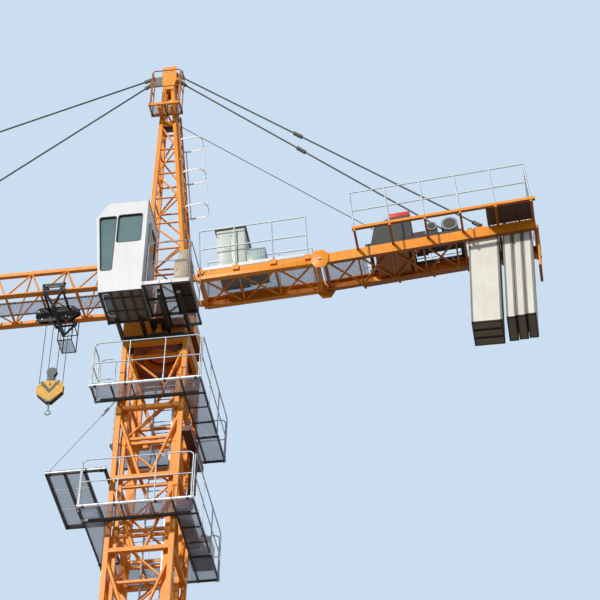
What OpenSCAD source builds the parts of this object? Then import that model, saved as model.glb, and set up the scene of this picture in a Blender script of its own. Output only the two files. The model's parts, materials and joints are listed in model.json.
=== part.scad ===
// Tower crane with a pointed tower head, a triangular jib and a pinned
// counter-jib, standing on a cross-shaped base frame inside its climbing frame.
// Millimetres, Z up. The slewing axis is the Z axis, the jib points along +X
// and the cab sits on the +Y side. The origin lies on the ground face.

/* [Mast] */
// Outer width of the square mast
mast_w = 1140; // [1060:20:1200]
// Square tube of a mast leg
mast_leg = 100; // [80:5:110]
// Tube of the mast bracing
mast_brace = 56; // [40:2:64]
// Height of one mast bay
bay_h = 1150; // [1100:10:1200]
// Number of mast bays, two to a section
bay_count = 12; // [12:1:12]
// Height of the base frame
base_h = 500; // [460:10:540]
// Length of one beam of the base cross
base_len = 3800; // [3400:100:4400]

/* [Climbing frame] */
// Square tube of a climbing frame post
cage_post = 100; // [80:5:110]
// Gap between the mast legs and the frame posts
cage_gap = 20; // [14:2:26]
// Height of one climbing frame panel
cage_panel = 1775; // [1700:25:1850]
// Number of climbing frame panels
cage_panels = 4; // [4:1:4]
// Width of the walkway in front of the climbing frame
walk_w = 570; // [480:10:620]
// Width of the walkways at its two sides
walk_side = 465; // [440:5:490]
// Depth of the platforms behind the climbing frame
walk_back = 880; // [800:20:1000]
// Height of a handrail above its floor
rail_h = 1100; // [1000:20:1200]
// Diameter of a handrail tube
rail_d = 30; // [26:2:36]

/* [Slewing part] */
// Outer radius of the toothed slewing ring
ring_r = 590; // [560:5:600]
// Number of teeth on the slewing ring
ring_teeth = 84; // [60:4:96]
// Length of the cab floor
cab_len = 900; // [860:10:960]
// Width of the cab
cab_w = 1010; // [980:10:1040]
// Height of the cab at its rear wall
cab_h = 2500; // [2400:20:2600]
// Forward lean of the windscreen
cab_lean = 200; // [120:10:240]
// Thickness of the cab walls
cab_wall = 40; // [30:2:50]

/* [Tower head] */
// Height of the lattice tower above the turntable
tower_h = 7600; // [7400:50:7800]
// Square tube of the tower legs
tower_leg = 90; // [70:5:100]
// Tube of the tower bracing
tower_brace = 44; // [34:2:50]
// Number of bracing panels in the tower
tower_panels = 9; // [9:1:9]

/* [Jib] */
// Length of one jib panel
jib_panel = 780; // [760:10:800]
// Panels in one jib section
jib_section_panels = 5; // [5:1:5]
// Depth of the jib between chord centres
jib_depth = 1030; // [980:10:1080]
// Spacing of the two lower chords
jib_w = 900; // [860:10:940]
// Square tube of a lower chord
jib_chord = 80; // [70:5:90]
// Tube of the jib lacing
jib_lace = 40; // [32:2:46]

/* [Counter-jib] */
// Length of the front counter-jib section
cj_front = 2660; // [2600:20:2720]
// Length of the rear counter-jib section
cj_rear = 4660; // [4600:20:4720]
// Upward tilt of the front section in degrees
cj_tilt_front = 3.8; // [3:0.2:4.6]
// Upward tilt of the rear section in degrees
cj_tilt_rear = 5.8; // [5:0.2:6.4]
// Outer width over the two chords
cj_w = 920; // [900:10:960]
// Depth of a counter-jib chord
cj_chord_h = 260; // [240:10:280]
// Height of a counterweight slab
slab_h = 2710; // [2600:10:2800]
// Thickness of the three slabs nearer the tower
slab_t1 = 230; // [220:5:230]
// Width of the three slabs nearer the tower
slab_w1 = 630; // [600:10:640]
// Thickness of the three slabs at the end
slab_t2 = 190; // [180:5:195]
// Width of the three slabs at the end
slab_w2 = 736; // [700:4:736]

/* [Trolley and hook] */
// Distance of the trolley from the slewing axis
trolley_x = 2350; // [2300:50:2400]
// Height of the hook block below the trolley sheaves
hook_drop = 1740; // [1600:20:1800]

/* [Hidden] */

orange = "#f0922b";
white = "#f2f2f0";
galvanised = "#c9ccd0";
steel_dark = "#4b4a48";
concrete = "#d6d3c4";

// Levels of the mast and of what stands on it
mast_top = base_h + bay_count * bay_h;
leg_c = (mast_w - mast_leg) / 2;
cage_c = mast_w / 2 + cage_gap + cage_post / 2;
cage_out = cage_c + cage_post / 2;
cage_top = mast_top + 250;
cage_bottom = cage_top - cage_panels * cage_panel;
upper_walk_z = mast_top - 1300;
walk_step = 3040;
lower_walk_z = upper_walk_z - walk_step;
walk_beam = 66;
floor_t = 12;

// Levels of the slewing part
seat_plate = 40;
seat_z = cage_top;
ring_z = seat_z + 190;
ring_h = 80;
ring_bore = ring_r - 150;
ring_gap = 6;
table_z = ring_z + ring_h + ring_gap;
table_plate = 30;
table_half = 760;
table_h = 444;
table_top = table_z + table_plate + table_h;

// Straight round bar between two points, drawn with few sides
module bar(p, q, d, sides = 6) {
    v = q - p;
    translate(p)
        rotate([0, acos(v[2] / norm(v)), atan2(v[1], v[0])])
            cylinder(d = d, h = norm(v), $fn = sides);
}

// Straight square tube between two points
module sq_bar(p, q, w) {
    v = q - p;
    translate(p)
        rotate([0, acos(v[2] / norm(v)), atan2(v[1], v[0])])
            rotate([0, 0, 45])
                cylinder(d = w * sqrt(2), h = norm(v), $fn = 4);
}

// Box given by its two opposite corners
module box(a, b) {
    translate([min(a[0], b[0]), min(a[1], b[1]), min(a[2], b[2])])
        cube([abs(a[0] - b[0]), abs(a[1] - b[1]), abs(a[2] - b[2])]);
}

// Unit vector along v
function unit(v) = v / norm(v);
// Outline pts, counted anticlockwise, moved inwards by e
function inset(pts, e) = [
    for (i = [0 : len(pts) - 1])
        let (n = len(pts),
             a = unit(pts[(i + 1) % n] - pts[i]),
             b = unit(pts[i] - pts[(i + n - 1) % n]),
             na = [-a[1], a[0]],
             nb = [-b[1], b[0]])
        pts[i] + (na + nb) * e / (1 + na * nb)
];
// Point c along the line from a to b
function mix(a, b, c) = a + (b - a) * c;
// Corner i of a square of half size r, counted round from +X +Y
function corner(i, r) = [
    (i % 4 == 0 || i % 4 == 3) ? r : -r,
    (i % 4 < 2) ? r : -r
];
function at_z(p, z) = [p[0], p[1], z];

// Base frame
base_beam_w = 220;
base_pad = 420;
base_pad_t = 40;
module base_frame() {
    color(orange)
        difference() {
            union() {
                for (a = [45, 135])
                    rotate([0, 0, a])
                        translate([-base_len / 2, -base_beam_w / 2, base_pad_t / 2])
                            cube([base_len, base_beam_w, base_h - 160 - base_pad_t / 2]);
                for (i = [0:3])
                    translate(at_z(corner(i, leg_c), base_pad_t))
                        translate([-80, -80, 0])
                            cube([160, 160, base_h - base_pad_t]);
                for (a = [45, 135, 225, 315])
                    rotate([0, 0, a])
                        box([base_len / 2 - base_pad, -base_pad / 2, 0],
                            [base_len / 2, base_pad / 2, base_pad_t]);
                box([-base_pad, -base_pad, 0], [base_pad, base_pad, base_pad_t]);
            }
            for (a = [45, 135, 225, 315])
                rotate([0, 0, a])
                    for (u = [-1, 1])
                        for (v = [-1, 1])
                            translate([
                                base_len / 2 - base_pad / 2 + u * bolt_pitch / 2,
                                v * bolt_pitch / 2, -1
                            ])
                                cylinder(r = bolt_r, h = base_pad_t + 2, $fn = 32);
        }
}
bolt_pitch = 320;
bolt_r = 14;

// Raking struts from the beam ends to the first mast section
strut_z = base_h + bay_h;
module base_braces() {
    strut_s = 90;
    end_r = base_len / 2 - base_pad - 60;
    color(orange)
        for (a = [45, 135, 225, 315])
            rotate([0, 0, a]) {
                top_r = leg_c * sqrt(2) + mast_leg * sqrt(2) / 2;
                difference() {
                    sq_bar([end_r + 40, 0, base_h - 160 - 60], [top_r - 60, 0, strut_z], strut_s);
                    translate([end_r - 400, -200, 0])
                        cube([900, 400, base_h - 160]);
                    translate([top_r - 300, -300, strut_z - 600])
                        cube([300, 600, 900]);
                }
            }
}

// Mast
// Four legs, rings and zigzag bracing over bays i0 to i1
module mast_part(i0, i1) {
    z0 = base_h + i0 * bay_h;
    z1 = base_h + i1 * bay_h;
    color(orange) {
        for (i = [0:3]) {
            p = corner(i, leg_c);
            translate([p[0] - mast_leg / 2, p[1] - mast_leg / 2, z0])
                cube([mast_leg, mast_leg, z1 - z0]);
            for (z = [z0 : 2 * bay_h : z1 - 1])
                for (s = [0, 1])
                    translate([
                        p[0] - sleeve / 2, p[1] - sleeve / 2,
                        z + s * (2 * bay_h - sleeve_h)
                    ])
                        cube([sleeve, sleeve, sleeve_h]);
        }
        for (i = [0:3])
            for (b = [i0 : i1 - 1]) {
                up = b % 2 == 0;
                zb = base_h + b * bay_h + (up ? ring_inset : 0);
                zt = base_h + (b + 1) * bay_h - (up ? 0 : ring_inset);
                p = corner(i, leg_c);
                q = corner(i + 1, leg_c);
                sq_bar(at_z(p, zb), at_z(q, zb), mast_brace);
                if (!up)
                    sq_bar(at_z(p, zt), at_z(q, zt), mast_brace);
                bar(at_z(up ? p : q, zb), at_z(up ? q : p, zt), mast_brace * 0.9);
            }
    }
}
sleeve = mast_leg + 16;
sleeve_h = 110;
ring_inset = 60;
module mast_lower() mast_part(0, 4);
module mast_middle() mast_part(4, 8);
module mast_upper() mast_part(8, 12);

// Ladder that stands on the inner face of the mast rings
module mast_ladder() {
    y0 = -(leg_c - mast_brace / 2);
    z0 = base_h + ring_inset - mast_brace / 2;
    z1 = mast_top - ring_inset + mast_brace / 2;
    color(galvanised) {
        for (s = [-1, 1])
            translate([s * 200 - 15, y0, z0])
                cube([30, 50, z1 - z0]);
        for (z = [z0 + 150 : 300 : z1 - 100])
            bar([-200, y0 + 25, z], [200, y0 + 25, z], 24);
    }
}

// Climbing frame
// Level of beam i, counted from the top
function cage_z(i) = cage_top - i * cage_panel;
cage_beam = 90;
module climbing_frame() {
    beam_in = cage_beam / 2 + 5;
    color(orange) {
        for (i = [0:3]) {
            p = corner(i, cage_c);
            translate([p[0] - cage_post / 2, p[1] - cage_post / 2, cage_bottom])
                cube([cage_post, cage_post, cage_top - cage_bottom]);
            // guide shoes that bear on the mast legs
            for (k = [1 : cage_panels])
                translate(at_z(p, cage_z(k) + 180))
                    box([0, 0, 0], [
                        sign(p[0]) * (mast_w / 2 - abs(p[0])),
                        sign(p[1]) * (mast_w / 2 - mast_leg - abs(p[1])) * 0.8, 140
                    ]);
        }
        for (i = [0:3])
            for (k = [0 : cage_panels]) {
                z = cage_z(k) + (k == 0 ? -beam_in : k == cage_panels ? beam_in : 0);
                p = corner(i, cage_c);
                q = corner(i + 1, cage_c);
                // the mast sections come in through the gap at the fourth face
                if (i != 3 || k != 2)
                    sq_bar(at_z(p, z), at_z(q, z), cage_beam);
            }
        // struts from the upper corners of a panel to the middle of the beam below
        for (i = [0:3])
            for (k = [0 : cage_panels - 1])
                if (i != 3 || k % 3 == 0) {
                    p = corner(i, cage_c);
                    q = corner(i + 1, cage_c);
                    bar(at_z(p, cage_z(k) - 160), at_z(mix(p, q, 0.42), cage_z(k + 1)), cage_strut);
                    bar(at_z(q, cage_z(k) - 160), at_z(mix(q, p, 0.42), cage_z(k + 1)), cage_strut);
                }
    }
}
cage_strut = 74;

// Climbing platforms
walk_out = cage_out + walk_w;
walk_far = cage_out + walk_back;
walk_x = cage_out + walk_side;
// Frame and floor round the climbing frame with its top face at z
module walkway(z, four_sided) {
    zb = z - walk_beam;
    color(galvanised)
        difference() {
            union() {
                box([-walk_x, -walk_far, z - floor_t], [walk_x, walk_out, z]);
                // edge beams
                box([-walk_x, walk_out - 60, zb], [walk_x, walk_out, z]);
                box([-walk_x, -walk_far, zb], [walk_x, -walk_far + 60, z]);
                for (e = [-walk_x, walk_x - 60])
                    box([e, -walk_far, zb], [e + 60, walk_out, z]);
                // inner beams that bear on the frame posts
                for (e = [-cage_out - 60, cage_out]) {
                    box([-walk_x, e, zb], [walk_x, e + 60, z]);
                    box([e, -walk_far, zb], [e + 60, walk_out, z]);
                }
            }
            box([-cage_out, -cage_out, zb - 1], [cage_out, cage_out, z + 10]);
            if (!four_sided)
                box([0, -cage_out, zb - 1], [2 * walk_x, cage_out, z + 10]);
        }
}
module upper_platform() walkway(upper_walk_z, false);
module lower_platform() walkway(lower_walk_z, true);

rail_post = rail_d + 6;
// Handrail with two rails and posts along a path, standing on floor level z
module rail_path(pts, z, spacing = 1200) {
    for (i = [0 : len(pts) - 2]) {
        a = pts[i];
        b = pts[i + 1];
        n = max(1, round(norm(b - a) / spacing));
        for (h = [rail_h, rail_h / 2])
            bar(at_z(a, z + h - rail_d / 2), at_z(b, z + h - rail_d / 2), rail_d);
        for (k = [i == 0 ? 0 : 1 : n])
            bar(at_z(mix(a, b, k / n), z), at_z(mix(a, b, k / n), z + rail_h + 3), rail_post, 8);
    }
}
rail_in = rail_d / 2 + 4;
rail_x = walk_x - rail_in;
// Rails round the outer edges, with the ends a and b of their path
module walkway_rails(z, a, b) {
    y = walk_out - rail_in;
    f = walk_far - rail_in;
    color(galvanised)
        rail_path(concat(a, [[rail_x, y], [-rail_x, y], [-rail_x, -f], [rail_x, -f]], b), z, 800);
}
module upper_platform_rails() {
    e = cage_out + 30;
    walkway_rails(upper_walk_z, [[e + 30, e], [rail_x, e]], [[rail_x, -e], [e + 30, -e]]);
}
module lower_platform_rails()
    walkway_rails(lower_walk_z, [[rail_x, sp_y1 + 40]], [[rail_x, sp_y0 - 40]]);

// Platform in front of the open face, where new mast sections come in
sp_z = upper_walk_z - bay_h - 850;
sp_x0 = cage_out;
sp_x1 = cage_out + 1230;
sp_y0 = -780;
sp_y1 = 1050;
sp_floor_x = sp_x0 + 410;
module section_platform() {
    color(galvanised)
        difference() {
            union() {
                for (y = [sp_y0, sp_y1 - 50])
                    box([sp_x0, y, sp_z - 80], [sp_x1, y + 50, sp_z]);
                for (x = [sp_x0, sp_floor_x, (sp_floor_x + sp_x1) / 2, sp_x1 - 50])
                    box([x, sp_y0, sp_z - 80], [x + 50, sp_y1, sp_z]);
                for (y = [sp_y0 + 600, sp_y1 - 600])
                    box([sp_floor_x, y - 20, sp_z - 60], [sp_x1, y + 20, sp_z]);
                box([sp_floor_x, sp_y0, sp_z - 10], [sp_x1, sp_y1, sp_z]);
            }
            box([0, -cage_out, sp_z - 200], [cage_out - 1, cage_c, sp_z + 100]);
        }
}
// Tie rod with a turnbuckle from the platform corner to the upper walkway
module section_platform_tie() {
    a = [sp_x1 - 60, sp_y1 - 25, sp_z];
    b = [cage_out + 30, cage_out + 30, upper_walk_z - walk_beam];
    m = mix(a, b, 0.8);
    n = mix(a, b, 0.9);
    color(galvanised) {
        difference() {
            union() {
                bar(a - (b - a) * 0.02, b + (b - a) * 0.02, 24, 8);
                bar(m, n, 60, 8);
            }
            box([0, 0, sp_z - 300], [2 * sp_x1, 2 * walk_out, sp_z]);
            box([0, 0, b[2]], [2 * sp_x1, 2 * walk_out, b[2] + 300]);
        }
    }
}

// Hydraulic jack behind the mast with its yoke beam
jack_x = -(cage_out + 130);
jack_z = lower_walk_z + 140;
jack_rod = 700;
jack_body = 1300;
module climbing_jack() {
    color("#8a8d90") {
        box([jack_x - 90, -cage_out, jack_z], [-cage_out, cage_out, jack_z + 140]);
        translate([jack_x, 0, jack_z + 140])
            cylinder(r = 45, h = jack_rod, $fn = 24);
        translate([jack_x, 0, jack_z + 140 + jack_rod])
            cylinder(r = 85, h = jack_body, $fn = 32);
        box([jack_x - 60, -cage_out, jack_z + jack_rod + jack_body - 60],
            [-cage_out, cage_out, jack_z + jack_rod + jack_body + 60]);
    }
}
// Pump and tank of the climbing gear on the lower walkway
module power_pack() {
    color(white) {
        box([-walk_x + 70, -1250, lower_walk_z], [-walk_x + 490, -800, lower_walk_z + 520]);
        translate([-walk_x + 280, -1120, lower_walk_z + 520])
            cylinder(r = 75, h = 260, $fn = 24);
    }
}

// Slewing unit
module bearing_seat() {
    color(orange)
        difference() {
            union() {
                for (i = [0:3]) {
                    p = corner(i, leg_c);
                    translate([p[0] - mast_leg / 2, p[1] - mast_leg / 2, mast_top])
                        cube([mast_leg, mast_leg, seat_z - mast_top + 10]);
                }
                // square box that stands on the mast legs and the cage top
                box([-cage_out, -cage_out, seat_z], [cage_out, cage_out, seat_z + 150]);
                translate([0, 0, seat_z + 150])
                    cylinder(r = ring_r - 20, h = ring_z - seat_z - 150, $fn = 64);
            }
            translate([0, 0, seat_z - 1])
                cylinder(r = ring_bore - 60, h = ring_z - seat_z + 2, $fn = 64);
        }
}
// Fixed toothed ring, outline computed from its tooth count
tooth_h = 22;
module slewing_ring() {
    color(steel_dark)
        translate([0, 0, ring_z])
            difference() {
                linear_extrude(ring_h)
                    polygon([
                        for (i = [0 : ring_teeth - 1])
                            for (k = [0 : 3])
                                let (a = 360 / ring_teeth, t = [0.05, 0.30, 0.55, 0.80][k],
                                     r = k == 0 || k == 3 ? ring_r - tooth_h : ring_r)
                                [r * cos(a * (i + t)), r * sin(a * (i + t))]
                    ]);
                translate([0, 0, -1])
                    cylinder(r = ring_bore, h = ring_h + 2, $fn = 96);
            }
}

// Pinion of the slewing drive, just clear of the ring
pinion_r = 70;
drive_r = ring_r + pinion_r + 6;
drive_x = -60;
drive_y = sqrt(drive_r * drive_r - drive_x * drive_x);
drive_plate_z = table_z + 130;
module turntable() {
    color(orange)
        difference() {
            union() {
                translate([0, 0, ring_z + ring_gap])
                    cylinder(r = ring_bore - 0.3, h = ring_h + 1, $fn = 96);
                translate([0, 0, table_z])
                    cylinder(r = 560, h = table_plate, $fn = 96);
                for (s = [-1, 1])
                    box([-table_half, s * tower_y0 - 70, table_z + table_plate],
                        [table_half, s * tower_y0 + 70, table_top]);
                for (x = [tower_xr, tower_xf])
                    box([x - 60, -tower_y0, table_z + table_plate], [x + 60, tower_y0, table_top]);
                for (x = [-table_half, table_half - 100])
                    box([x, -tower_y0, table_z + table_plate + 80], [x + 100, tower_y0, table_top]);
                // shelf for the slewing drive
                box([drive_x - 190, tower_y0, drive_plate_z],
                    [drive_x + 190, drive_y + 190, drive_plate_z + 30]);
                // arms below the cab and the walkway
                for (i = [0 : 3])
                    box([arm_x[i] - 35, tower_y0, cab_z - arm_h],
                        [arm_x[i] + 35, i < 2 ? cab_y1 - 160 : cab_y0 + 130, i < 2 ? cab_z + 70 : cab_z]);
            }
            translate([0, 0, ring_z])
                cylinder(r = ring_bore - 130, h = 400, $fn = 64);
            translate([drive_x, drive_y, drive_plate_z - 1])
                cylinder(r = 60, h = 60, $fn = 32);
        }
}
module slewing_drive() {
    z = drive_plate_z + 30;
    color(orange)
        translate([drive_x, drive_y, 0]) {
            translate([0, 0, ring_z])
                cylinder(r = pinion_r, h = ring_h, $fn = 12);
            translate([0, 0, ring_z + ring_h])
                cylinder(r = 48, h = z - ring_z - ring_h, $fn = 32);
            translate([0, 0, z])
                cylinder(r = 160, h = 30, $fn = 48);
            translate([0, 0, z + 30])
                cylinder(r = 125, h = 260, $fn = 48);
            translate([0, 0, z + 290])
                cylinder(r = 100, h = 240, $fn = 48);
        }
}

// Cab
cab_x0 = 75;
cab_x1 = cab_x0 + cab_len;
cab_y1 = 1900;
cab_y0 = cab_y1 - cab_w;
cab_z = table_z + 104;
eave_z = cab_z + 2100;
arm_x = [-680, -260, 260, 760];
arm_h = 100;
slope = atan2(cab_lean, eave_z - cab_z);
// Side outline of the cab, anticlockwise from the rear lower corner
cab_side = [
    [cab_x0, cab_z], [cab_x1, cab_z], [cab_x1 + cab_lean, eave_z],
    [cab_x1 - 40, cab_z + cab_h], [cab_x0, cab_z + cab_h]
];
module side_profile(pts, y0, y1) {
    translate([0, y1, 0])
        rotate([90, 0, 0])
            linear_extrude(y1 - y0)
                polygon(pts);
}
// Rounded window outline between four corners
module window_shape(pts, r, grow = 0) {
    hull()
        for (p = pts)
            translate(p)
                circle(r = r + grow, $fn = 24);
}
// Corner centres of the two side windows
quarter_win = [
    [cab_x1 + 76, eave_z - 30], [cab_x1 - 190, eave_z - 30],
    [cab_x1 - 190, cab_z + 620], [cab_x1 - 48, cab_z + 620]
];
side_win = [
    [cab_x1 - 330, eave_z - 10], [cab_x0 + 150, eave_z - 10],
    [cab_x0 + 150, eave_z - 700], [cab_x1 - 330, eave_z - 700]
];
win_r = 50;
door_w = 560;
door_y0 = cab_y0 + 200;
door_z0 = cab_z + 210;
door_z1 = cab_z + 2080;
module front_frame() {
    translate([cab_x1, 0, cab_z])
        rotate([0, slope, 0])
            children();
}
module cab_shell() {
    color(white)
        difference() {
            union() {
                side_profile(cab_side, cab_y0, cab_y1);
                for (x = [cab_x0 + 60, cab_x1 - 110])
                    for (y = [cab_y0 + 60, cab_y1 - 60])
                        translate([x, y, cab_z + cab_h - 5])
                            cylinder(d = 40, h = 65, $fn = 24);
                // hinge pins of the door between their plates
                for (z = hinge_z) {
                    translate([hinge_x, hinge_y, z - 10])
                        cylinder(r = hinge_pin, h = knuckle_h + 20, $fn = 24);
                    for (e = [-10, knuckle_h + 1]) {
                        translate([hinge_x, hinge_y, z + e])
                            cylinder(r = 11, h = 9, $fn = 24);
                        box([hinge_x, hinge_y - 11, z + e], [cab_x0 + 5, hinge_y + 11, z + e + 9]);
                    }
                }
            }
            side_profile(inset(cab_side, cab_wall), cab_y0 + cab_wall, cab_y1 - cab_wall);
            for (y = [cab_y0 - 5, cab_y1 - cab_wall - 5])
                translate([0, y + cab_wall + 10, 0])
                    rotate([90, 0, 0])
                        linear_extrude(cab_wall + 10) {
                            window_shape(quarter_win, win_r);
                            window_shape(side_win, win_r);
                        }
            // windscreen
            front_frame()
                box([-100, cab_y0 + 110, 300], [60, cab_y1 - 110, 1980]);
            // doorway in the rear wall
            box([cab_x0 - 5, door_y0 + 25, door_z0 + 20],
                [cab_x0 + cab_wall + 5, door_y0 + door_w - 25, door_z1 - 25]);
            // floor window
            translate([cab_x1 - 145, floor_win_y, cab_z - 1])
                hull()
                    for (s = [-1, 1])
                        translate([0, s * 260, 0])
                            cylinder(r = 70, h = cab_wall + 2, $fn = 32);
        }
}
pane = 6;
floor_win_y = cab_y1 - 440;
module cab_glass() {
    color("#6f9aa0") {
        for (y = [cab_y0 + cab_wall, cab_y1 - cab_wall - pane])
            translate([0, y + pane, 0])
                rotate([90, 0, 0])
                    linear_extrude(pane) {
                        window_shape(quarter_win, win_r, 12);
                        window_shape(side_win, win_r, 12);
                    }
        front_frame()
            box([-cab_wall - pane - 0.3, cab_y0 + 90, 280], [-cab_wall - 0.3, cab_y1 - 90, 2000]);
        box([cab_x1 - 230, floor_win_y - 340, cab_z + cab_wall],
            [cab_x1 - 60, floor_win_y + 340, cab_z + cab_wall + pane]);
    }
}
module cab_seat() {
    y = (cab_y0 + cab_y1) / 2;
    zf = cab_z + cab_wall;
    color(steel_dark) {
        translate([cab_x0 + 330, y, zf])
            cylinder(r = 90, h = 400, $fn = 32);
        box([cab_x0 + 110, y - 240, zf + 400], [cab_x0 + 560, y + 240, zf + 520]);
        box([cab_x0 + 110, y - 230, zf + 520], [cab_x0 + 220, y + 230, zf + 1120]);
        for (s = [-1, 1])
            box([cab_x0 + 300, y + s * 290 - 50, zf + 400], [cab_x0 + 620, y + s * 290 + 50, zf + 640]);
    }
}
door_gap = 6;
door_t = 36;
hinge_x = cab_x0 - door_gap - door_t;
hinge_y = door_y0 - 14;
hinge_pin = 6;
knuckle_h = 80;
hinge_z = [door_z0 + 250, door_z1 - 330];
module cab_door() {
    color(galvanised)
        difference() {
            union() {
                box([cab_x0 - door_gap - door_t, door_y0, door_z0],
                    [cab_x0 - door_gap, door_y0 + door_w, door_z1]);
                for (z = hinge_z) {
                    translate([hinge_x, hinge_y, z])
                        cylinder(r = 13, h = knuckle_h, $fn = 24);
                    box([hinge_x, hinge_y, z], [hinge_x + 12, door_y0 + 5, z + knuckle_h]);
                }
                // handle
                box([hinge_x - 40, door_y0 + door_w - 110, door_z0 + 830],
                    [hinge_x + 5, door_y0 + door_w - 80, door_z0 + 860]);
                box([hinge_x - 52, door_y0 + door_w - 110, door_z0 + 700],
                    [hinge_x - 38, door_y0 + door_w - 80, door_z0 + 990]);
            }
            for (z = hinge_z)
                translate([hinge_x, hinge_y, z - 1])
                    cylinder(r = hinge_pin + 0.3, h = knuckle_h + 2, $fn = 24);
            translate([hinge_x - 10, 0, 0])
                rotate([90, 0, 90])
                    linear_extrude(door_t + 20)
                        window_shape([
                            [door_y0 + 150, door_z1 - 150], [door_y0 + door_w - 150, door_z1 - 150],
                            [door_y0 + door_w - 150, door_z1 - 760], [door_y0 + 150, door_z1 - 760]
                        ], 60);
        }
}

// Walkway behind the cab with its white edge beam and rails
walk_x0 = -930;
walk_z = cab_z + 160;
walk_in = drive_y + 200;
module cab_walkway() {
    zb = cab_z + 70;
    x1 = cab_x0 - 3;
    color(white) {
        box([walk_x0, walk_in, walk_z - 12], [x1, cab_y1, walk_z]);
        box([walk_x0, tower_y0 + 75, walk_z - 12], [drive_x - 220, walk_in + 60, walk_z]);
        box([walk_x0, cab_y1 - 60, zb], [x1, cab_y1, walk_z]);
        box([walk_x0, tower_y0 + 75, zb], [walk_x0 + 60, cab_y1, walk_z]);
        box([x1 - 60, walk_in, zb], [x1, cab_y1, walk_z]);
        box([walk_x0, walk_in, zb], [x1, walk_in + 60, walk_z]);
        box([drive_x - 280, tower_y0 + 75, zb], [drive_x - 220, walk_in + 60, walk_z]);
    }
    color(galvanised)
        rail_path([
            [cab_x0 - 60, cab_y1 - 25], [walk_x0 + 25, cab_y1 - 25], [walk_x0 + 25, cab_y0 - 100]
        ], walk_z, 900);
}
module electric_box() {
    x = walk_x0 + 70;
    color("#cfc7a8") {
        box([x, cab_y1 - 60, walk_z], [x + 280, cab_y1 - 700, walk_z + 590]);
        box([x + 5, cab_y1 - 80, walk_z + 590], [x + 205, cab_y1 - 640, walk_z + 880]);
    }
}

// Tower head
tower_xf = 405;
tower_xr = -585;
tower_y0 = 415;
tower_top_z = table_top + tower_h;
tower_xf1 = 405;
tower_xr1 = 215;
tower_y1 = 110;
// Centre of leg i at height fraction t: 0 front +Y, 1 rear +Y, 2 rear -Y, 3 front -Y
function tower_pt(i, t) = let (k = i % 4) [
    (k == 0 || k == 3) ? tower_xf + (tower_xf1 - tower_xf) * t
                       : tower_xr + (tower_xr1 - tower_xr) * t,
    (k < 2 ? 1 : -1) * (tower_y0 + (tower_y1 - tower_y0) * t),
    table_top + tower_h * t
];
function tower_t(z) = (z - table_top) / tower_h;
head_pin_x = 760;
jib_tie_z = [tower_top_z + 450, tower_top_z + 280];
cj_tie_head = [115, tower_top_z + 390];
// Bracing level k: the lowest panel is cut off by the turntable
tower_pitch = tower_h / 9.35;
function level_t(k) = (k * tower_pitch - 250) / tower_h;
lug = 20;
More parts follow.
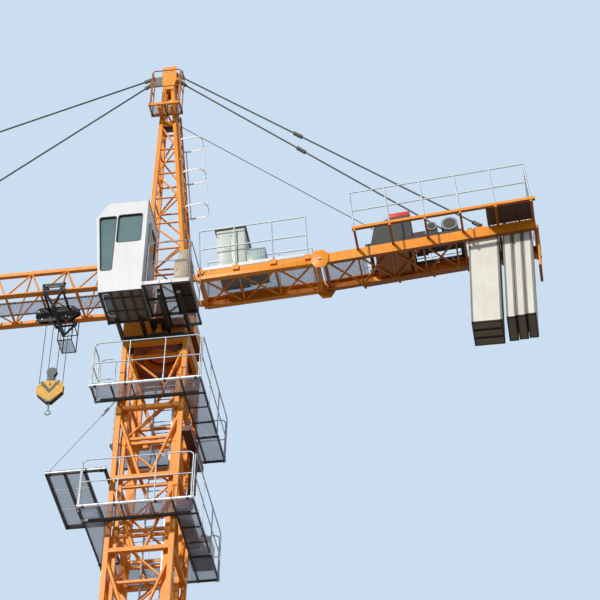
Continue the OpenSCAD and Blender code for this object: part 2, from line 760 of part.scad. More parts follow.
// Distance of a head plate from the middle plane
head_plate_y = tower_y1 + 56;
module tower_head() {
    color(orange) {
        difference() {
            union() {
                for (i = [0:3]) {
                    sq_bar(tower_pt(i, -0.02), tower_pt(i, 1), tower_leg);
                    for (k = [0 : tower_panels - 1]) {
                        t0 = level_t(k);
                        t1 = level_t(k + 1);
                        bar(tower_pt(i, t0), tower_pt(i + 1, t0), tower_brace);
                        // the panel of the rope sheave stays open at front and rear
                        if (i % 2 == 0 || k != sheave_panel)
                            bar(tower_pt(i + (k % 2), t0), tower_pt(i + 1 - (k % 2), t1), tower_brace);
                    }
                }
                // foot plates
                for (i = [0:3]) {
                    p = tower_pt(i, 0);
                    translate([p[0] - 75, p[1] - 75, table_top])
                        cube([150, 150, 25]);
                }
            }
            box([-1500, -1500, table_top - 500], [1500, 1500, table_top]);
        }
        // head plates with two pin holes each
        for (s = [-1, 1])
            translate([0, s * head_plate_y + 10, 0])
                rotate([90, 0, 0])
                    linear_extrude(20)
                        difference() {
                            polygon([
                                [tower_xr1 - 25, tower_top_z - 120],
                                [tower_xf1 + 30, tower_top_z - 120],
                                [tower_xf1 + 75, tower_top_z + 300],
                                [tower_xf1 + 75, tower_top_z + 640],
                                [tower_xr1 - 55, tower_top_z + 660],
                                [tower_xr1 - 75, tower_top_z + 280]
                            ]);
                            for (x = [tower_xf1 - 45, tower_xr1 + 45])
                                translate([x, tower_top_z + 450])
                                    circle(r = 28, $fn = 32);
                        }
        // boxes that join the head plates
        for (z = [tower_top_z + 10, tower_top_z + 240])
            box([tower_xr1 - 20, -head_plate_y, z], [tower_xf1 + 20, head_plate_y, z + 160]);
        // lug of the two jib ties
        difference() {
            box([tower_xf1, -lug / 2, tower_top_z + 220], [head_pin_x + 45, lug / 2, tower_top_z + 510]);
            for (z = jib_tie_z)
                translate([head_pin_x, 20, z])
                    rotate([90, 0, 0])
                        cylinder(r = tie_bore, h = 40, $fn = 24);
        }
        // lugs of the counter-jib ties
        for (s = [-1, 1])
            at_cj_head(s)
                difference() {
                    box([-60, -lug / 2, -60], [180, lug / 2, 60]);
                    tie_pin_hole();
                }
        // lugs that carry the jib and the counter-jib
        for (s = [-1, 1]) {
            pf = tower_pt(s > 0 ? 0 : 3, tower_t(jib_zb));
            box([pf[0], s * jib_w / 2 - 12, jib_zb - 60], [jib_root - 10, s * jib_w / 2 + 12, jib_zb + 60]);
            box([pf[0] - 20, s * (abs(pf[1]) - 30), jib_zb - 60],
                [pf[0] + 60, s * (jib_w / 2 + 12), jib_zb + 60]);
            pr = tower_pt(s > 0 ? 1 : 2, tower_t(cj_z0 + 120));
            box([pr[0], s * cj_root_y - 12, cj_z0 + 50], [-cj_x0 + 8, s * cj_root_y + 12, cj_z0 + 190]);
            box([pr[0] - 60, s * (abs(pr[1]) - 30), cj_z0 + 50],
                [pr[0] + 20, s * (cj_root_y + 12), cj_z0 + 190]);
        }
        // rests of the ladder across the rear legs
        for (z = ladder_rest) {
            y = tower_pt(1, z / tower_h)[1];
            ladder_frame()
                box([ladder_stile / 2 + 0.3, -y, z - 20], [ladder_off, y, z + 20]);
        }
        // brackets below the head platform
        for (x = [tower_xf - 30, tower_pt(1, tower_t(hp_z))[0] - 30])
            box([x, tower_pt(0, tower_t(hp_z))[1], hp_z - 130], [x + 60, hp_y - 40, hp_z - 70]);
        // bearing plates of the rope sheave
        for (s = [-1, 1]) {
            p = tower_pt(0, tower_t(sheave_z));
            q = tower_pt(1, tower_t(sheave_z));
            box([q[0], s * (p[1] - 45), sheave_z - 50], [p[0], s * (p[1] - 30), sheave_z + 50]);
        }
    }
}
tie_bore = 16;
tie_pin_out = 20;
module tie_pin_hole() {
    translate([0, lug, 0])
        rotate([90, 0, 0])
            cylinder(r = tie_bore, h = 2 * lug, $fn = 24);
}
cj_root_y = 400;
// Frame of a counter-jib tie at the head: x points down the tie
module at_cj_head(s) {
    a = cj_head_pt(s);
    b = cj_end_pt(s);
    v = b - a;
    translate(a)
        rotate([0, 0, atan2(v[1], v[0])])
            rotate([0, atan2(-v[2], norm([v[0], v[1]])), 0])
                rotate([0, 0, 180])
                    children();
}
function cj_head_pt(s) = [cj_tie_head[0], s * tower_y1, cj_tie_head[1]];

// Ladder with three hoops behind the tower, parallel to the rear legs
ladder_off = 85;
ladder_stile = 34;
ladder_rest = [300, 1900, 3500, 5100, 6300];
ladder_tilt = atan2(tower_xr1 - tower_xr, tower_h);
ladder_len = tower_h - 700;
hoop_z = [3567, 4672, 5738];
// Half outline of a hoop, from the stile to the middle of its back
hoop_pts = [[0, 190], [-64, 220], [-408, 220], [-496, 130], [-496, 0]];
function other_side(p) = [p[0], -p[1]];
module ladder_frame()
    translate([tower_xr - ladder_off, 0, table_top])
        rotate([0, ladder_tilt, 0])
            children();
module tower_ladder() {
    color(white)
        ladder_frame() {
            for (s = [-1, 1])
                box([-ladder_stile / 2, s * 190 - ladder_stile / 2, 60],
                    [ladder_stile / 2, s * 190 + ladder_stile / 2, ladder_len]);
            for (z = [300 : 300 : ladder_len - 60])
                bar([0, -190, z], [0, 190, z], 22);
            for (z = hoop_z)
                for (k = [0 : 3]) {
                    p = hoop_pts[k];
                    q = hoop_pts[k + 1];
                    bar(at_z(p, z), at_z(q, z), 28);
                    bar(at_z(other_side(p), z), at_z(other_side(q), z), 28);
                }
            // straps behind the middle and at the far side
            for (p = [hoop_pts[4], other_side(hoop_pts[1])])
                bar(at_z(p, hoop_z[0]), at_z(p, hoop_z[2]), 20);
        }
}
// Platform beside the head, on the cab side only
hp_z = tower_top_z - 1000;
hp_x0 = -100;
hp_x1 = 640;
hp_y = 600;
hp_y0 = tower_pt(0, tower_t(hp_z - 70))[1] + tower_leg / 2 + 17;
module head_platform() {
    color(orange) {
        box([hp_x0, hp_y0, hp_z - 10], [hp_x1, hp_y, hp_z]);
        for (y = [hp_y0, hp_y - 50])
            box([hp_x0, y, hp_z - 70], [hp_x1, y + 50, hp_z]);
        for (x = [hp_x0, hp_x1 - 50])
            box([x, hp_y0, hp_z - 70], [x + 50, hp_y, hp_z]);
    }
    color(galvanised)
        rail_path([
            [hp_x1 - 25, hp_y0 + 25], [hp_x1 - 25, hp_y - 25],
            [hp_x0 + 25, hp_y - 25], [hp_x0 + 25, hp_y0 + 25]
        ], hp_z, 700);
}
sheave_panel = 8;
sheave_r = 150;
sheave_z = table_top + tower_h * level_t(sheave_panel) + 130;
sheave_x = (tower_pt(0, tower_t(sheave_z))[0] + tower_pt(1, tower_t(sheave_z))[0]) / 2;
module head_sheave() {
    y = tower_pt(0, tower_t(sheave_z))[1] - 45;
    color("#7d857c")
        translate([sheave_x, 0, sheave_z]) {
            sheave(sheave_r, 60, 20);
            translate([0, y, 0])
                rotate([90, 0, 0])
                    cylinder(r = 20, h = 2 * y, $fn = 32);
        }
}

// Jib
jib_x0 = 330;
jib_zb = 16380;
jib_zt = jib_zb + jib_depth;
top_chord = 90;
jib_panels = 6 * jib_section_panels;
jib_x1 = jib_x0 + jib_panels * jib_panel;
// The first panel is cut short by the tower
jib_root = tower_xf + 135;
function apex(i) = jib_x0 + (i + 0.5) * jib_panel;
tie_panel = [9, 21];
// Two jib sections from panel i0 to i1
module jib_part(i0, i1, first = false, last = false) {
    xa = first ? jib_root : jib_x0 + i0 * jib_panel;
    xb = jib_x0 + i1 * jib_panel;
    y = jib_w / 2;
    function bx(i) = max(jib_root + 50, jib_x0 + i * jib_panel + (i == i0 ? 50 : i == i1 ? -50 : 0));
    color(orange) {
        for (s = [-1, 1])
            union() {
                box([xa, s * y - jib_chord / 2, jib_zb - jib_chord / 2],
                    [xb, s * y + jib_chord / 2, jib_zb + jib_chord / 2]);
                // outer flange on which the trolley wheels run
                box([xa, s * y, track_z], [xb, s * (track_y + track_w), track_z + track_t]);
            }
        box([first ? apex(i0) - 60 : xa, -top_chord / 2, jib_zt - top_chord / 2],
            [last ? apex(i1 - 1) + 60 : xb, top_chord / 2, jib_zt + top_chord / 2]);
        for (i = [i0 : i1 - 1]) {
            for (s = [-1, 1]) {
                bar([bx(i), s * y, jib_zb], [apex(i), 0, jib_zt], jib_lace);
                bar([bx(i + 1), s * y, jib_zb], [apex(i), 0, jib_zt], jib_lace);
            }
            sq_bar([bx(i), -y, jib_zb], [bx(i), y, jib_zb], jib_lace);
            bar([bx(i), (i % 2 == 0 ? -y : y), jib_zb],
                [bx(i + 1), (i % 2 == 0 ? y : -y), jib_zb], jib_lace * 0.8);
        }
        sq_bar([bx(i1), -y, jib_zb], [bx(i1), y, jib_zb], jib_lace);
        // sleeves where two sections meet
        xm = xb - jib_section_panels * jib_panel;
        for (x = [first ? xm : xa, last ? xm : xb, xm])
            intersection() {
                union() {
                    for (s = [-1, 1])
                        box([x - 90, s * (y - 52), jib_zb - 52], [x + 90, s * y, jib_zb + 52]);
                    box([x - 90, -57, jib_zt - 57], [x + 90, 57, jib_zt + 57]);
                }
                box([xa, -jib_w, jib_zb - jib_w], [xb, jib_w, jib_zt + jib_w]);
            }
    }
}
module tie_lug(x) {
    color(orange)
        difference() {
            box([x - 90, -lug / 2, jib_lug_z - 65], [x + 90, lug / 2, jib_lug_z + 50]);
            translate([x, 0, jib_lug_z])
                tie_pin_hole();
        }
}
module jib_inner() {
    jib_part(0, 10, first = true);
    tie_lug(apex(tie_panel[0]));
    // root forks beside the tower lugs
    color(orange)
        for (s = [-1, 1])
            for (d = [-1, 1])
                box([jib_root - 70, s * jib_w / 2 + d * 22 - 10, jib_zb - 55],
                    [jib_root + 30, s * jib_w / 2 + d * 22 + 10, jib_zb + 55]);
}
module jib_middle() jib_part(10, 20);
module jib_outer() {
    jib_part(20, 30, last = true);
    tie_lug(apex(tie_panel[1]));
    // end frame with the tip sheave guard
    color(orange) {
        box([jib_x1 - 60, -jib_w / 2, jib_zb - 90], [jib_x1 + 40, jib_w / 2, jib_zb + 50]);
        for (s = [-1, 1])
            box([jib_x1 - 200, s * 70 - 8, jib_zb - 60], [jib_x1 + 180, s * 70 + 8, jib_zb + 90]);
        translate([jib_x1 + 110, 70, jib_zb + 15])
            rotate([90, 0, 0])
                cylinder(r = 60, h = 140, $fn = 32);
    }
}
// Narrow walkway on the cross bars inside the jib
module jib_walkway() {
    zf = jib_zb + jib_lace / 2;
    color(galvanised) {
        box([jib_root + 30, -190, zf], [jib_x1 - 220, 190, zf + 8]);
        for (s = [-1, 1])
            box([jib_root + 30, s * 190 - 15, zf], [jib_x1 - 220, s * 190 + 15, zf + 30]);
    }
}

// Tie bar in the local XZ plane from pin to pin, with cheeks at both ends
module tie_bar(length, couplers, d = 38) {
    for (s = [-1, 1])
        for (e = [0, 1])
            translate([e * length, 0, 0])
                mirror([e, 0, 0])
                    box([-45, s * (lug / 2 + 6) - 6, -40], [190, s * (lug / 2 + 6) + 6, 40]);
    for (e = [0, 1])
        translate([e * length, 0, 0])
            mirror([e, 0, 0])
                box([150, -lug / 2 - 6, -30], [190, lug / 2 + 6, 30]);
    translate([180, 0, 0])
        rotate([0, 90, 0])
            cylinder(d = d, h = length - 360, $fn = 8);
    for (c = couplers)
        box([c * length - 130, -36, -30], [c * length + 130, 36, 30]);
    for (e = [0, 1])
        translate([e * length, lug / 2 + tie_pin_out, 0])
            rotate([90, 0, 0])
                cylinder(r = tie_bore - 0.06, h = lug + 2 * tie_pin_out, $fn = 24);
}
module place_tie(a, b) {
    v = b - a;
    translate(a)
        rotate([0, 0, atan2(v[1], v[0])])
            rotate([0, atan2(-v[2], norm([v[0], v[1]])), 0])
                children();
}
jib_lug_z = jib_zt + top_chord / 2 + 60;
function jib_tie_a(k) = [head_pin_x, 0, jib_tie_z[k]];
function jib_tie_b(k) = [apex(tie_panel[1 - k]), 0, jib_lug_z];
module jib_ties() {
    color("#5a5148")
        for (k = [0, 1])
            place_tie(jib_tie_a(k), jib_tie_b(k))
                tie_bar(norm(jib_tie_b(k) - jib_tie_a(k)), k == 0 ? [0.25, 0.5, 0.75] : [0.5]);
}

// Counter-jib
cj_x0 = 750;
cj_z0 = 16325;
cj_chord_t = 88;
cj_y = cj_w / 2;
cj_joint = [
    -cj_x0 - cj_front * cos(cj_tilt_front), cj_z0 + cj_front * sin(cj_tilt_front)
];
// Local frames: x runs outward along the section, z up from the chord's lower face
module front_local()
    translate([-cj_x0, 0, cj_z0])
        rotate([0, cj_tilt_front, 0])
            mirror([1, 0, 0])
                children();
module rear_local()
    translate([cj_joint[0], 0, cj_joint[1]])
        rotate([0, cj_tilt_rear, 0])
            mirror([1, 0, 0])
                children();
function rear_pt(s, y, z) = [
    cj_joint[0] - s * cos(cj_tilt_rear) + z * sin(cj_tilt_rear) * 1,
    y,
    cj_joint[1] + s * sin(cj_tilt_rear) + z * cos(cj_tilt_rear)
];
joint_gap = 30;
// Channel-shaped chord, open towards the middle
module chord(len, s) {
    y0 = s * cj_y;
    y1 = s * (cj_y - cj_chord_t);
    difference() {
        box([0, y0, 0], [len, y1, cj_chord_h]);
        box([-1, s * (cj_y - 22), 26], [len + 1, s * (cj_y - cj_chord_t - 5), cj_chord_h - 26]);
    }
}
// Crossed bracing between the chords
module cj_lacing(x0, x1, n, z) {
    p = (x1 - x0) / n;
    y = cj_y - 18;
    for (i = [0 : n - 1]) {
        bar([x0 + i * p, -y, z], [x0 + (i + 1) * p, y, z], 44);
        bar([x0 + i * p, y, z], [x0 + (i + 1) * p, -y, z], 44);
    }
    for (i = [0 : n])
        bar([x0 + i * p, -y, z], [x0 + i * p, y, z], 44);
}
post_front = [75, 850, 1660, 2405];
post_rear = [for (k = [0 : 5]) 840 + 756 * k];
out_y = 1080;
out_far = 780;
out_beam = 70;
// Start and height of the outboard beams
out_s = 790;
out_up = cj_chord_h + 60;
module counter_jib_front() {
    color(orange)
        front_local() {
            for (s = [-1, 1]) {
                chord(cj_front - joint_gap, s);
                // brackets of the handrail posts
                for (x = post_front)
                    box([x - 65, s * cj_y, cj_chord_h - 130], [x + 65, s * (cj_y + 60), cj_chord_h]);
            }
            cj_lacing(80, cj_front - 150, 3, 50);
            box([20, -cj_y + 12, 20], [90, cj_y - 12, cj_chord_h - 30]);
            box([cj_front - 110, -cj_y + 12, 30], [cj_front - 50, cj_y - 12, cj_chord_h - 30]);
        }
    // root plates on both sides of the tower lugs
    color(orange)
        for (s = [-1, 1])
            for (d = [-1, 1])
                box([-cj_x0 - 50, s * cj_root_y + d * 22 - 10, cj_z0 + 55],
                    [-cj_x0 + 100, s * cj_root_y + d * 22 + 10, cj_z0 + 185]);
}
// Frame of the rear section with the beams that carry its side walkways
module counter_jib_rear() {
    color(orange)
        rear_local() {
            for (s = [-1, 1]) {
                translate([joint_gap, 0, 0])
                    chord(cj_rear - joint_gap, s);
                // eight-sided joint plates
                translate([0, s * (cj_y + 12) + 12, cj_chord_h / 2])
                    rotate([90, 0, 0])
                        cylinder(r = 180, h = 24, $fn = 8);
            }
            cj_lacing(120, 2920, 4, 50);
            for (x = [60, 1960, cross_1, cross_2, cj_rear - 50])
                box([x, -cj_y + 12, 40], [x + cross_t, cj_y - 12, cj_chord_h - 30]);
            // floor plate below the winch
            box([1180, -cj_y + 12, 80], [1890, cj_y - 12, 95]);
            // outboard beams and their brackets
            for (y = [out_y - out_beam, -out_far])
                box([out_s, y, out_up - out_beam], [cj_rear + 55, y + out_beam, out_up]);
            for (x = post_rear) {
                box([x - 25, cj_y - 10, cj_chord_h - 60], [x + 25, out_y - 10, cj_chord_h]);
                box([x - 25, -cj_y + 10, cj_chord_h - 60], [x + 25, -out_far + 10, cj_chord_h]);
            }
            // lugs of the ties
            for (s = [-1, 1])
                translate([cj_lug_s, 0, 0])
                    box([-90, s * (cj_y - 44) - 24, cj_chord_h - 5],
                        [90, s * (cj_y - 44) + 24, cj_chord_h + 25]);
            box([cj_rear - 10, -270, 40], [cj_rear + 40, 270, 120]);
        }
    // frame that hangs upright from the rear end
    color(orange) {
        x = rear_pt(cj_rear, 0, 0)[0];
        z = rear_pt(cj_rear, 0, cj_chord_h)[2];
        for (s = [-1, 1])
            box([x - 35, s * 240 - 25, z - hang_h], [x + 5, s * 240 + 25, z]);
        box([x - 45, -270, z - hang_h - 80], [x + 15, 270, z - hang_h]);
    }
    color(orange)
        for (s = [-1, 1])
            at_cj_end(s)
                difference() {
                    box([-60, -lug / 2, -130], [60, lug / 2, 50]);
                    tie_pin_hole();
                }
}
cj_lug_s = 3480;
hang_h = 1080;
// Cross beams before and behind the first group of counterweights
cross_t = 50;
cross_1 = 3080;
cross_2 = 3855;
cj_lug_up = 110;
function cj_end_pt(s) = rear_pt(cj_lug_s, s * (cj_y - 44), cj_chord_h + cj_lug_up);
// Frame at the lower end of a counter-jib tie, upright in the plane of the tie
module at_cj_end(s) {
    v = cj_end_pt(s) - cj_head_pt(s);
    translate(cj_end_pt(s))
        rotate([0, 0, atan2(v[1], v[0])])
            children();
}
module counter_jib_ties() {
    color("#5a5148")
        for (s = [-1, 1])
            place_tie(cj_head_pt(s), cj_end_pt(s))
                tie_bar(norm(cj_end_pt(s) - cj_head_pt(s)), [0.42]);
}
// Mesh deck between the chords with toe boards on top of them
toe_h = 110;
module counter_jib_deck() {
    color(white)
        front_local() {
            box([10, -cj_y, cj_chord_h], [cj_front - 120, cj_y, cj_chord_h + 10]);
            for (s = [-1, 1])
                box([10, s * cj_y, cj_chord_h + 10], [cj_front - 320, s * (cj_y - 12), cj_chord_h + toe_h]);
        }
    color(galvanised)
        rear_local() {
            box([joint_gap, -cj_y, cj_chord_h], [980, cj_y, cj_chord_h + 10]);
            for (y = [cj_y + 20, -cj_y - 20])
                box([3650, y, cj_chord_h],
                    [cj_rear, y > 0 ? out_y - out_beam - 1 : -out_far + out_beam + 1, cj_chord_h + 10]);
        }
}
module counter_jib_rails() {
    y1 = cj_y + 40;
    color(galvanised) {
        front_local()
            for (s = [-1, 1]) {
                for (x = post_front)
                    bar([x, s * y1, cj_chord_h], [x, s * y1, cj_chord_h + rail_h + 63], rail_post, 8);
                for (h = [rail_h + 60, rail_h / 2 + 60])
                    bar([post_front[0], s * y1, cj_chord_h + h - rail_d / 2],
                        [post_front[3], s * y1, cj_chord_h + h - rail_d / 2], rail_d);
            }
        rear_local()
            for (y = [out_y - 30, -out_far + 30]) {
                for (x = post_rear)
                    bar([x, y, out_up], [x, y, cj_chord_h + rail_h + 3], rail_post, 8);
                for (h = [rail_h, rail_h / 2])
                    bar([post_rear[0], y, cj_chord_h + h - rail_d / 2],
                        [post_rear[5], y, cj_chord_h + h - rail_d / 2], rail_d);
            }
        rear_local()
            for (h = [rail_h, rail_h / 2])
                bar([post_rear[5], out_y - 30, cj_chord_h + h - rail_d / 2],
                    [post_rear[5], -out_far + 30, cj_chord_h + h - rail_d / 2], rail_d);
    }
}
module control_cabinets() {
    zf = cj_chord_h + 10;
    color("#c3c8bd")
        front_local() {
            box([440, -250, zf], [1060, 400, zf + 1180]);
            box([400, -290, zf + 1180], [1100, 440, zf + 1230]);
            box([1075, -200, zf], [1480, 380, zf + 480]);
            box([1065, -215, zf + 480], [1490, 395, zf + 500]);
        }
}
// Hoist winch with its drum, gearbox, motor and frame
drum_s = 1450;
drum_r = 200;
drum_up = 360;
module along_y(s, y0, y1, z, r, sides)
    translate([s, y1, z])
        rotate([90, 0, 0])
            cylinder(r = r, h = y1 - y0, $fn = sides);
module hoist_winch() {
    zf = cj_chord_h;
    color("#5d665c")
        rear_local() {
            for (s = [-1, 1])
                box([1000, s * 400 - 40, zf], [3100, s * 400 + 40, zf + 90]);
            for (x = [1050, 1960, 3010])
                box([x, -360, zf + 10], [x + 80, 360, zf + 90]);
            // side plates that also carry the red cover
            for (s = [-1, 1])
                translate([0, s * 375 + 15, 0])
                    rotate([90, 0, 0])
                        linear_extrude(30)
                            polygon([
                                [drum_s - 340, zf + 85], [drum_s + 570, zf + 85],
                                [drum_s + 570, zf + 800], [drum_s + 130, zf + 800],
                                [drum_s - 200, zf + 640]
                            ]);
            box([drum_s + 120, -390, zf + 795], [drum_s + 580, 390, zf + 910]);
            along_y(drum_s, -320, 320, zf + drum_up, drum_r, 64);
            along_y(drum_s, -380, 380, zf + drum_up, 45, 32);
            for (y = [-310, 290])
                along_y(drum_s, y, y + 20, zf + drum_up, drum_r + 60, 64);
            // gearbox, brake and motor
            box([drum_s + 600, -200, zf + 80], [drum_s + 860, 360, zf + 260]);
            along_y(drum_s + 1015, 60, 360, zf + 390, 105, 48);
            box([drum_s + 900, 40, zf + 80], [drum_s + 1130, 340, zf + 330]);
            along_y(drum_s + 1400, -60, 360, zf + 380, 170, 48);
            box([drum_s + 1260, -40, zf + 80], [drum_s + 1540, 340, zf + 260]);
            box([drum_s + 600, -150, zf + 80], [drum_s + 1600, 50, zf + 130]);
        }
}
slab_gap = 20;
// Lengths along the rear section: middle of the first group and of the second
weight_s = [3530, 4250];
bar_s = 40;
bar_x = 240;
slab_up = 110;
// Upright frame at length s of the rear section, on top of its chords
module on_rear(s)
    translate(rear_pt(s, 0, cj_chord_h))
        children();
module slab_body(x, y)
    translate([-x / 2, -y / 2, slab_up - slab_h])
        cube([x, y, slab_h]);
// Square bar across the tilted chords, larger by e for the holes of the slabs
module weight_bar(e = 0)
    rotate([0, cj_tilt_rear, 0])
        translate([-bar_s / 2 - e, -cj_y + 8, 0.3 - e])
            cube([bar_s + 2 * e, 2 * cj_y - 16, bar_s + 2 * e]);
module counterweights() {
    color(concrete) {
        // three slabs facing the cab side on two bars
        difference() {
            on_rear(weight_s[0])
                for (k = [-1, 0, 1])
                    translate([0, k * (slab_t1 + slab_gap), 0])
                        slab_body(slab_w1, slab_t1);
            for (u = [-1, 1])
                on_rear(weight_s[0] + u * bar_x)
                    weight_bar(0.3);
        }
        // three slabs facing along the beam, each on a bar of its own
        for (k = [-1, 0, 1])
            on_rear(weight_s[1] + k * (slab_t2 + slab_gap))
                difference() {
                    slab_body(slab_t2, slab_w2);
                    weight_bar(0.3);
                }
    }
}
// Bars that rest on both chords and carry the slabs
module counterweight_bars() {
    color(steel_dark) {
        for (u = [-1, 1])
            on_rear(weight_s[0] + u * bar_x)
                weight_bar();
        for (k = [-1, 0, 1])
            on_rear(weight_s[1] + k * (slab_t2 + slab_gap))
                weight_bar();
    }
}
// Taut rope from the top of the drum to the underside of the head sheave
rope_d = 18;
module hoist_rope() {
    a = rear_pt(drum_s, 0, cj_chord_h + drum_up);
    b = [sheave_x, 0, sheave_z];
    v = b - a;
    groove = sheave_r - 12 + rope_d / 2 + 0.3;
    base = drum_r + rope_d / 2 + 0.3;
    t = atan2(v[2], v[0]);
    up = [-sin(t), 0, cos(t)];
    color(steel_dark)
        bar(a + up * base, b + up * groove, rope_d, 8);
}

// Trolley
tr_half = 250;
wheel_r = 60;
wheel_gap = 0.3;
track_w = 55;
track_t = 12;
track_y = jib_w / 2 + jib_chord / 2;
track_z = jib_zb - jib_chord / 2;
wheel_x = 170;
wheel_z = track_z + track_t + wheel_gap + wheel_r;
tr_plate_y = track_y + track_w + 8;
tr_plate_t = 16;
tr_low = jib_zb - 450;
tr_sheave_r = 85;
tr_sheave_x = 172;
tr_sheave_z = tr_low + 105;
fall_d = 16;
fall_off = tr_sheave_r - 12 + fall_d / 2 + 0.3;
falls = [for (u = [-1, 1]) for (v = [-1, 1]) u * tr_sheave_x + v * fall_off];
// Sheave with a rope groove, axle along Y
module sheave(r, w, bore) {
    rotate([90, 0, 0])
        rotate_extrude($fn = 64)
            polygon([
                [bore, -w / 2], [r, -w / 2], [r - 12, -w / 6],
                [r - 12, w / 6], [r, w / 2], [bore, w / 2]
            ]);
}
module trolley_frame() {
    color(steel_dark)
        translate([trolley_x, 0, 0]) {
            for (s = [-1, 1]) {
                // bracket beside the lower chord and its V down to the cross tube
                box([-tr_half, s * tr_plate_y, track_z - 50],
                    [tr_half, s * (tr_plate_y + tr_plate_t), wheel_z + 108]);
                for (u = [-1, 1])
                    sq_bar([u * (tr_half - 30), s * (tr_plate_y + 8), track_z - 45],
                           [0, s * 490, tr_low + 30], 40);
                // cheeks of the sheave body
                translate([0, s * 40 + 6, 0])
                    rotate([90, 0, 0])
                        linear_extrude(12)
                            polygon([
                                [-300, tr_low], [400, tr_low], [500, tr_low + 130],
                                [500, track_z - 90], [420, track_z - 15], [-300, track_z - 15],
                                [-470, tr_low + 240], [-470, tr_low + 160], [-350, tr_low + 80]
                            ]);
            }
            box([-35, -510, tr_low], [35, 510, tr_low + 60]);
            for (x = [-tr_half + 20, tr_half - 60])
                box([x, -tr_plate_y - 5, track_z - 95], [x + 40, tr_plate_y + 5, track_z - 45]);
            for (u = [-1, 1])
                along_y(u * tr_sheave_x, -60, 60, tr_sheave_z, 20, 32);
        }
}
module trolley_wheels() {
    color(steel_dark)
        translate([trolley_x, 0, 0]) {
            for (s = [-1, 1])
                for (x = [-wheel_x, wheel_x])
                    translate([x, s * (track_y + 4), wheel_z])
                        rotate([-90 * s, 0, 0]) {
                            cylinder(r = wheel_r, h = track_w - 12, $fn = 48);
                            cylinder(r = 18, h = tr_plate_y - track_y - 4, $fn = 24);
                        }
            for (u = [-1, 1])
                translate([u * tr_sheave_x, 0, tr_sheave_z])
                    sheave(tr_sheave_r, 60, 20);
        }
}
// Small service basket that hangs from the far bracket
basket_y1 = -(tr_plate_y + tr_plate_t);
basket_y0 = basket_y1 - 450;
basket_z = jib_zb - 480;
module trolley_basket() {
    x = 165;
    t = 24;
    h = 1000;
    color(galvanised)
        translate([trolley_x, 0, basket_z]) {
            box([-x, basket_y0, 0], [x, basket_y1, t]);
            for (z = [h - t, h / 2 - t]) {
                box([-x, basket_y0, z], [x, basket_y0 + t, z + t]);
                for (e = [-x, x - t])
                    box([e, basket_y0, z], [e + t, basket_y1, z + t]);
            }
            for (e = [-x, x - t])
                for (y = [basket_y0, basket_y1 - t])
                    box([e, y, 0], [e + t, y + t, h]);
        }
}
module rope_falls() {
    color(steel_dark)
        for (x = falls)
            translate([trolley_x + x, 0, block_axle])
                cylinder(d = fall_d, h = tr_sheave_z - block_axle, $fn = 8);
}
// Hook block
block_top = tr_sheave_z - hook_drop;
block_axle = block_top - 170;
block_plate = 14;
module hook_block() {
    z = block_top;
    color("#e3b12a")
        translate([trolley_x, 0, 0])
            difference() {
                union() {
                    for (s = [-1, 1])
                        translate([0, s * 50 + block_plate / 2, 0])
                            rotate([90, 0, 0])
                                linear_extrude(block_plate)
                                    polygon([
                                        [-50, z - 640], [50, z - 640], [285, z - 390],
                                        [285, z - 200], [190, z - 70], [-190, z - 70],
                                        [-285, z - 200], [-285, z - 390]
                                    ]);
                    // distance blocks and the crosshead of the hook
                    for (x = [-280, 220])
                        box([x, -44, z - 380], [x + 60, 44, z - 300]);
                    box([-50, -44, z - 630], [50, 44, z - 510]);
                    for (u = [-1, 1])
                        along_y(u * tr_sheave_x, -75, 75, block_axle, 20, 32);
                }
                translate([0, 0, z - 660])
                    cylinder(r = hook_shank + 0.3, h = 160, $fn = 32);
            }
}
// Lower sheaves and the grey tongue with the upper one
module block_sheaves() {
    color("#7d857c")
        translate([trolley_x, 0, 0]) {
            for (u = [-1, 1])
                translate([u * tr_sheave_x, 0, block_axle])
                    sheave(tr_sheave_r, 60, 20);
            for (y = [-43, 31]) {
                along_y(0, y, y + 12, block_top + 195, 112, 64);
                box([-60, y, block_top - 110], [60, y + 12, block_top + 195]);
            }
            along_y(0, -32, 32, block_top + 195, 76, 64);
        }
}
hook_r = 52;
hook_d = 34;
hook_shank = 18;
hook_cz = block_top - 895;
module hook() {
    color("#6f756f")
        translate([trolley_x, 0, 0]) {
            translate([0, 0, hook_cz + hook_r - 5])
                cylinder(r = hook_shank, h = block_top - 495 - hook_cz - hook_r, $fn = 32);
            translate([0, 0, block_top - 509.7])
                cylinder(r = 40, h = 40, $fn = 6);
            translate([0, 0, hook_cz])
                rotate([90, 0, 0]) {
                    rotate([0, 0, 90])
                        rotate_extrude(angle = 270, $fn = 96)
                            translate([hook_r, 0])
                                circle(d = hook_d, $fn = 48);
                    // tapered point
                    translate([hook_r, 0, 0])
                        rotate([-90, 0, 0])
                            cylinder(r1 = hook_d / 2 - 1, r2 = hook_d / 4, h = 30, $fn = 48);
                }
        }
}

base_frame();
base_braces();
mast_lower();
mast_middle();
mast_upper();
mast_ladder();
climbing_frame();
upper_platform();
upper_platform_rails();
lower_platform();
lower_platform_rails();
section_platform();
section_platform_tie();
climbing_jack();
power_pack();
bearing_seat();
slewing_ring();
turntable();
slewing_drive();
cab_walkway();
cab_shell();
cab_glass();
cab_seat();
cab_door();
electric_box();
tower_head();
tower_ladder();
head_platform();
head_sheave();
jib_inner();
jib_middle();
jib_outer();
jib_walkway();
jib_ties();
counter_jib_front();
counter_jib_rear();
counter_jib_deck();
counter_jib_rails();
counter_jib_ties();
control_cabinets();
hoist_winch();
counterweights();
counterweight_bars();
hoist_rope();
trolley_frame();
trolley_wheels();
trolley_basket();
rope_falls();
hook_block();
block_sheaves();
hook();
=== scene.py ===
# Looks of the tower crane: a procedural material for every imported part, and finer
# pieces that stand for some parts or are added to them. Metres, Z up, the jib
# along +X, the cab on +Y.
#
# Camera, Materials, Mesh code, Walkways, Counter-jib, Trolley and hook,
# Tower head, Cab, Boxes, Winch, Counterweights, Light and backdrop
import json
import math

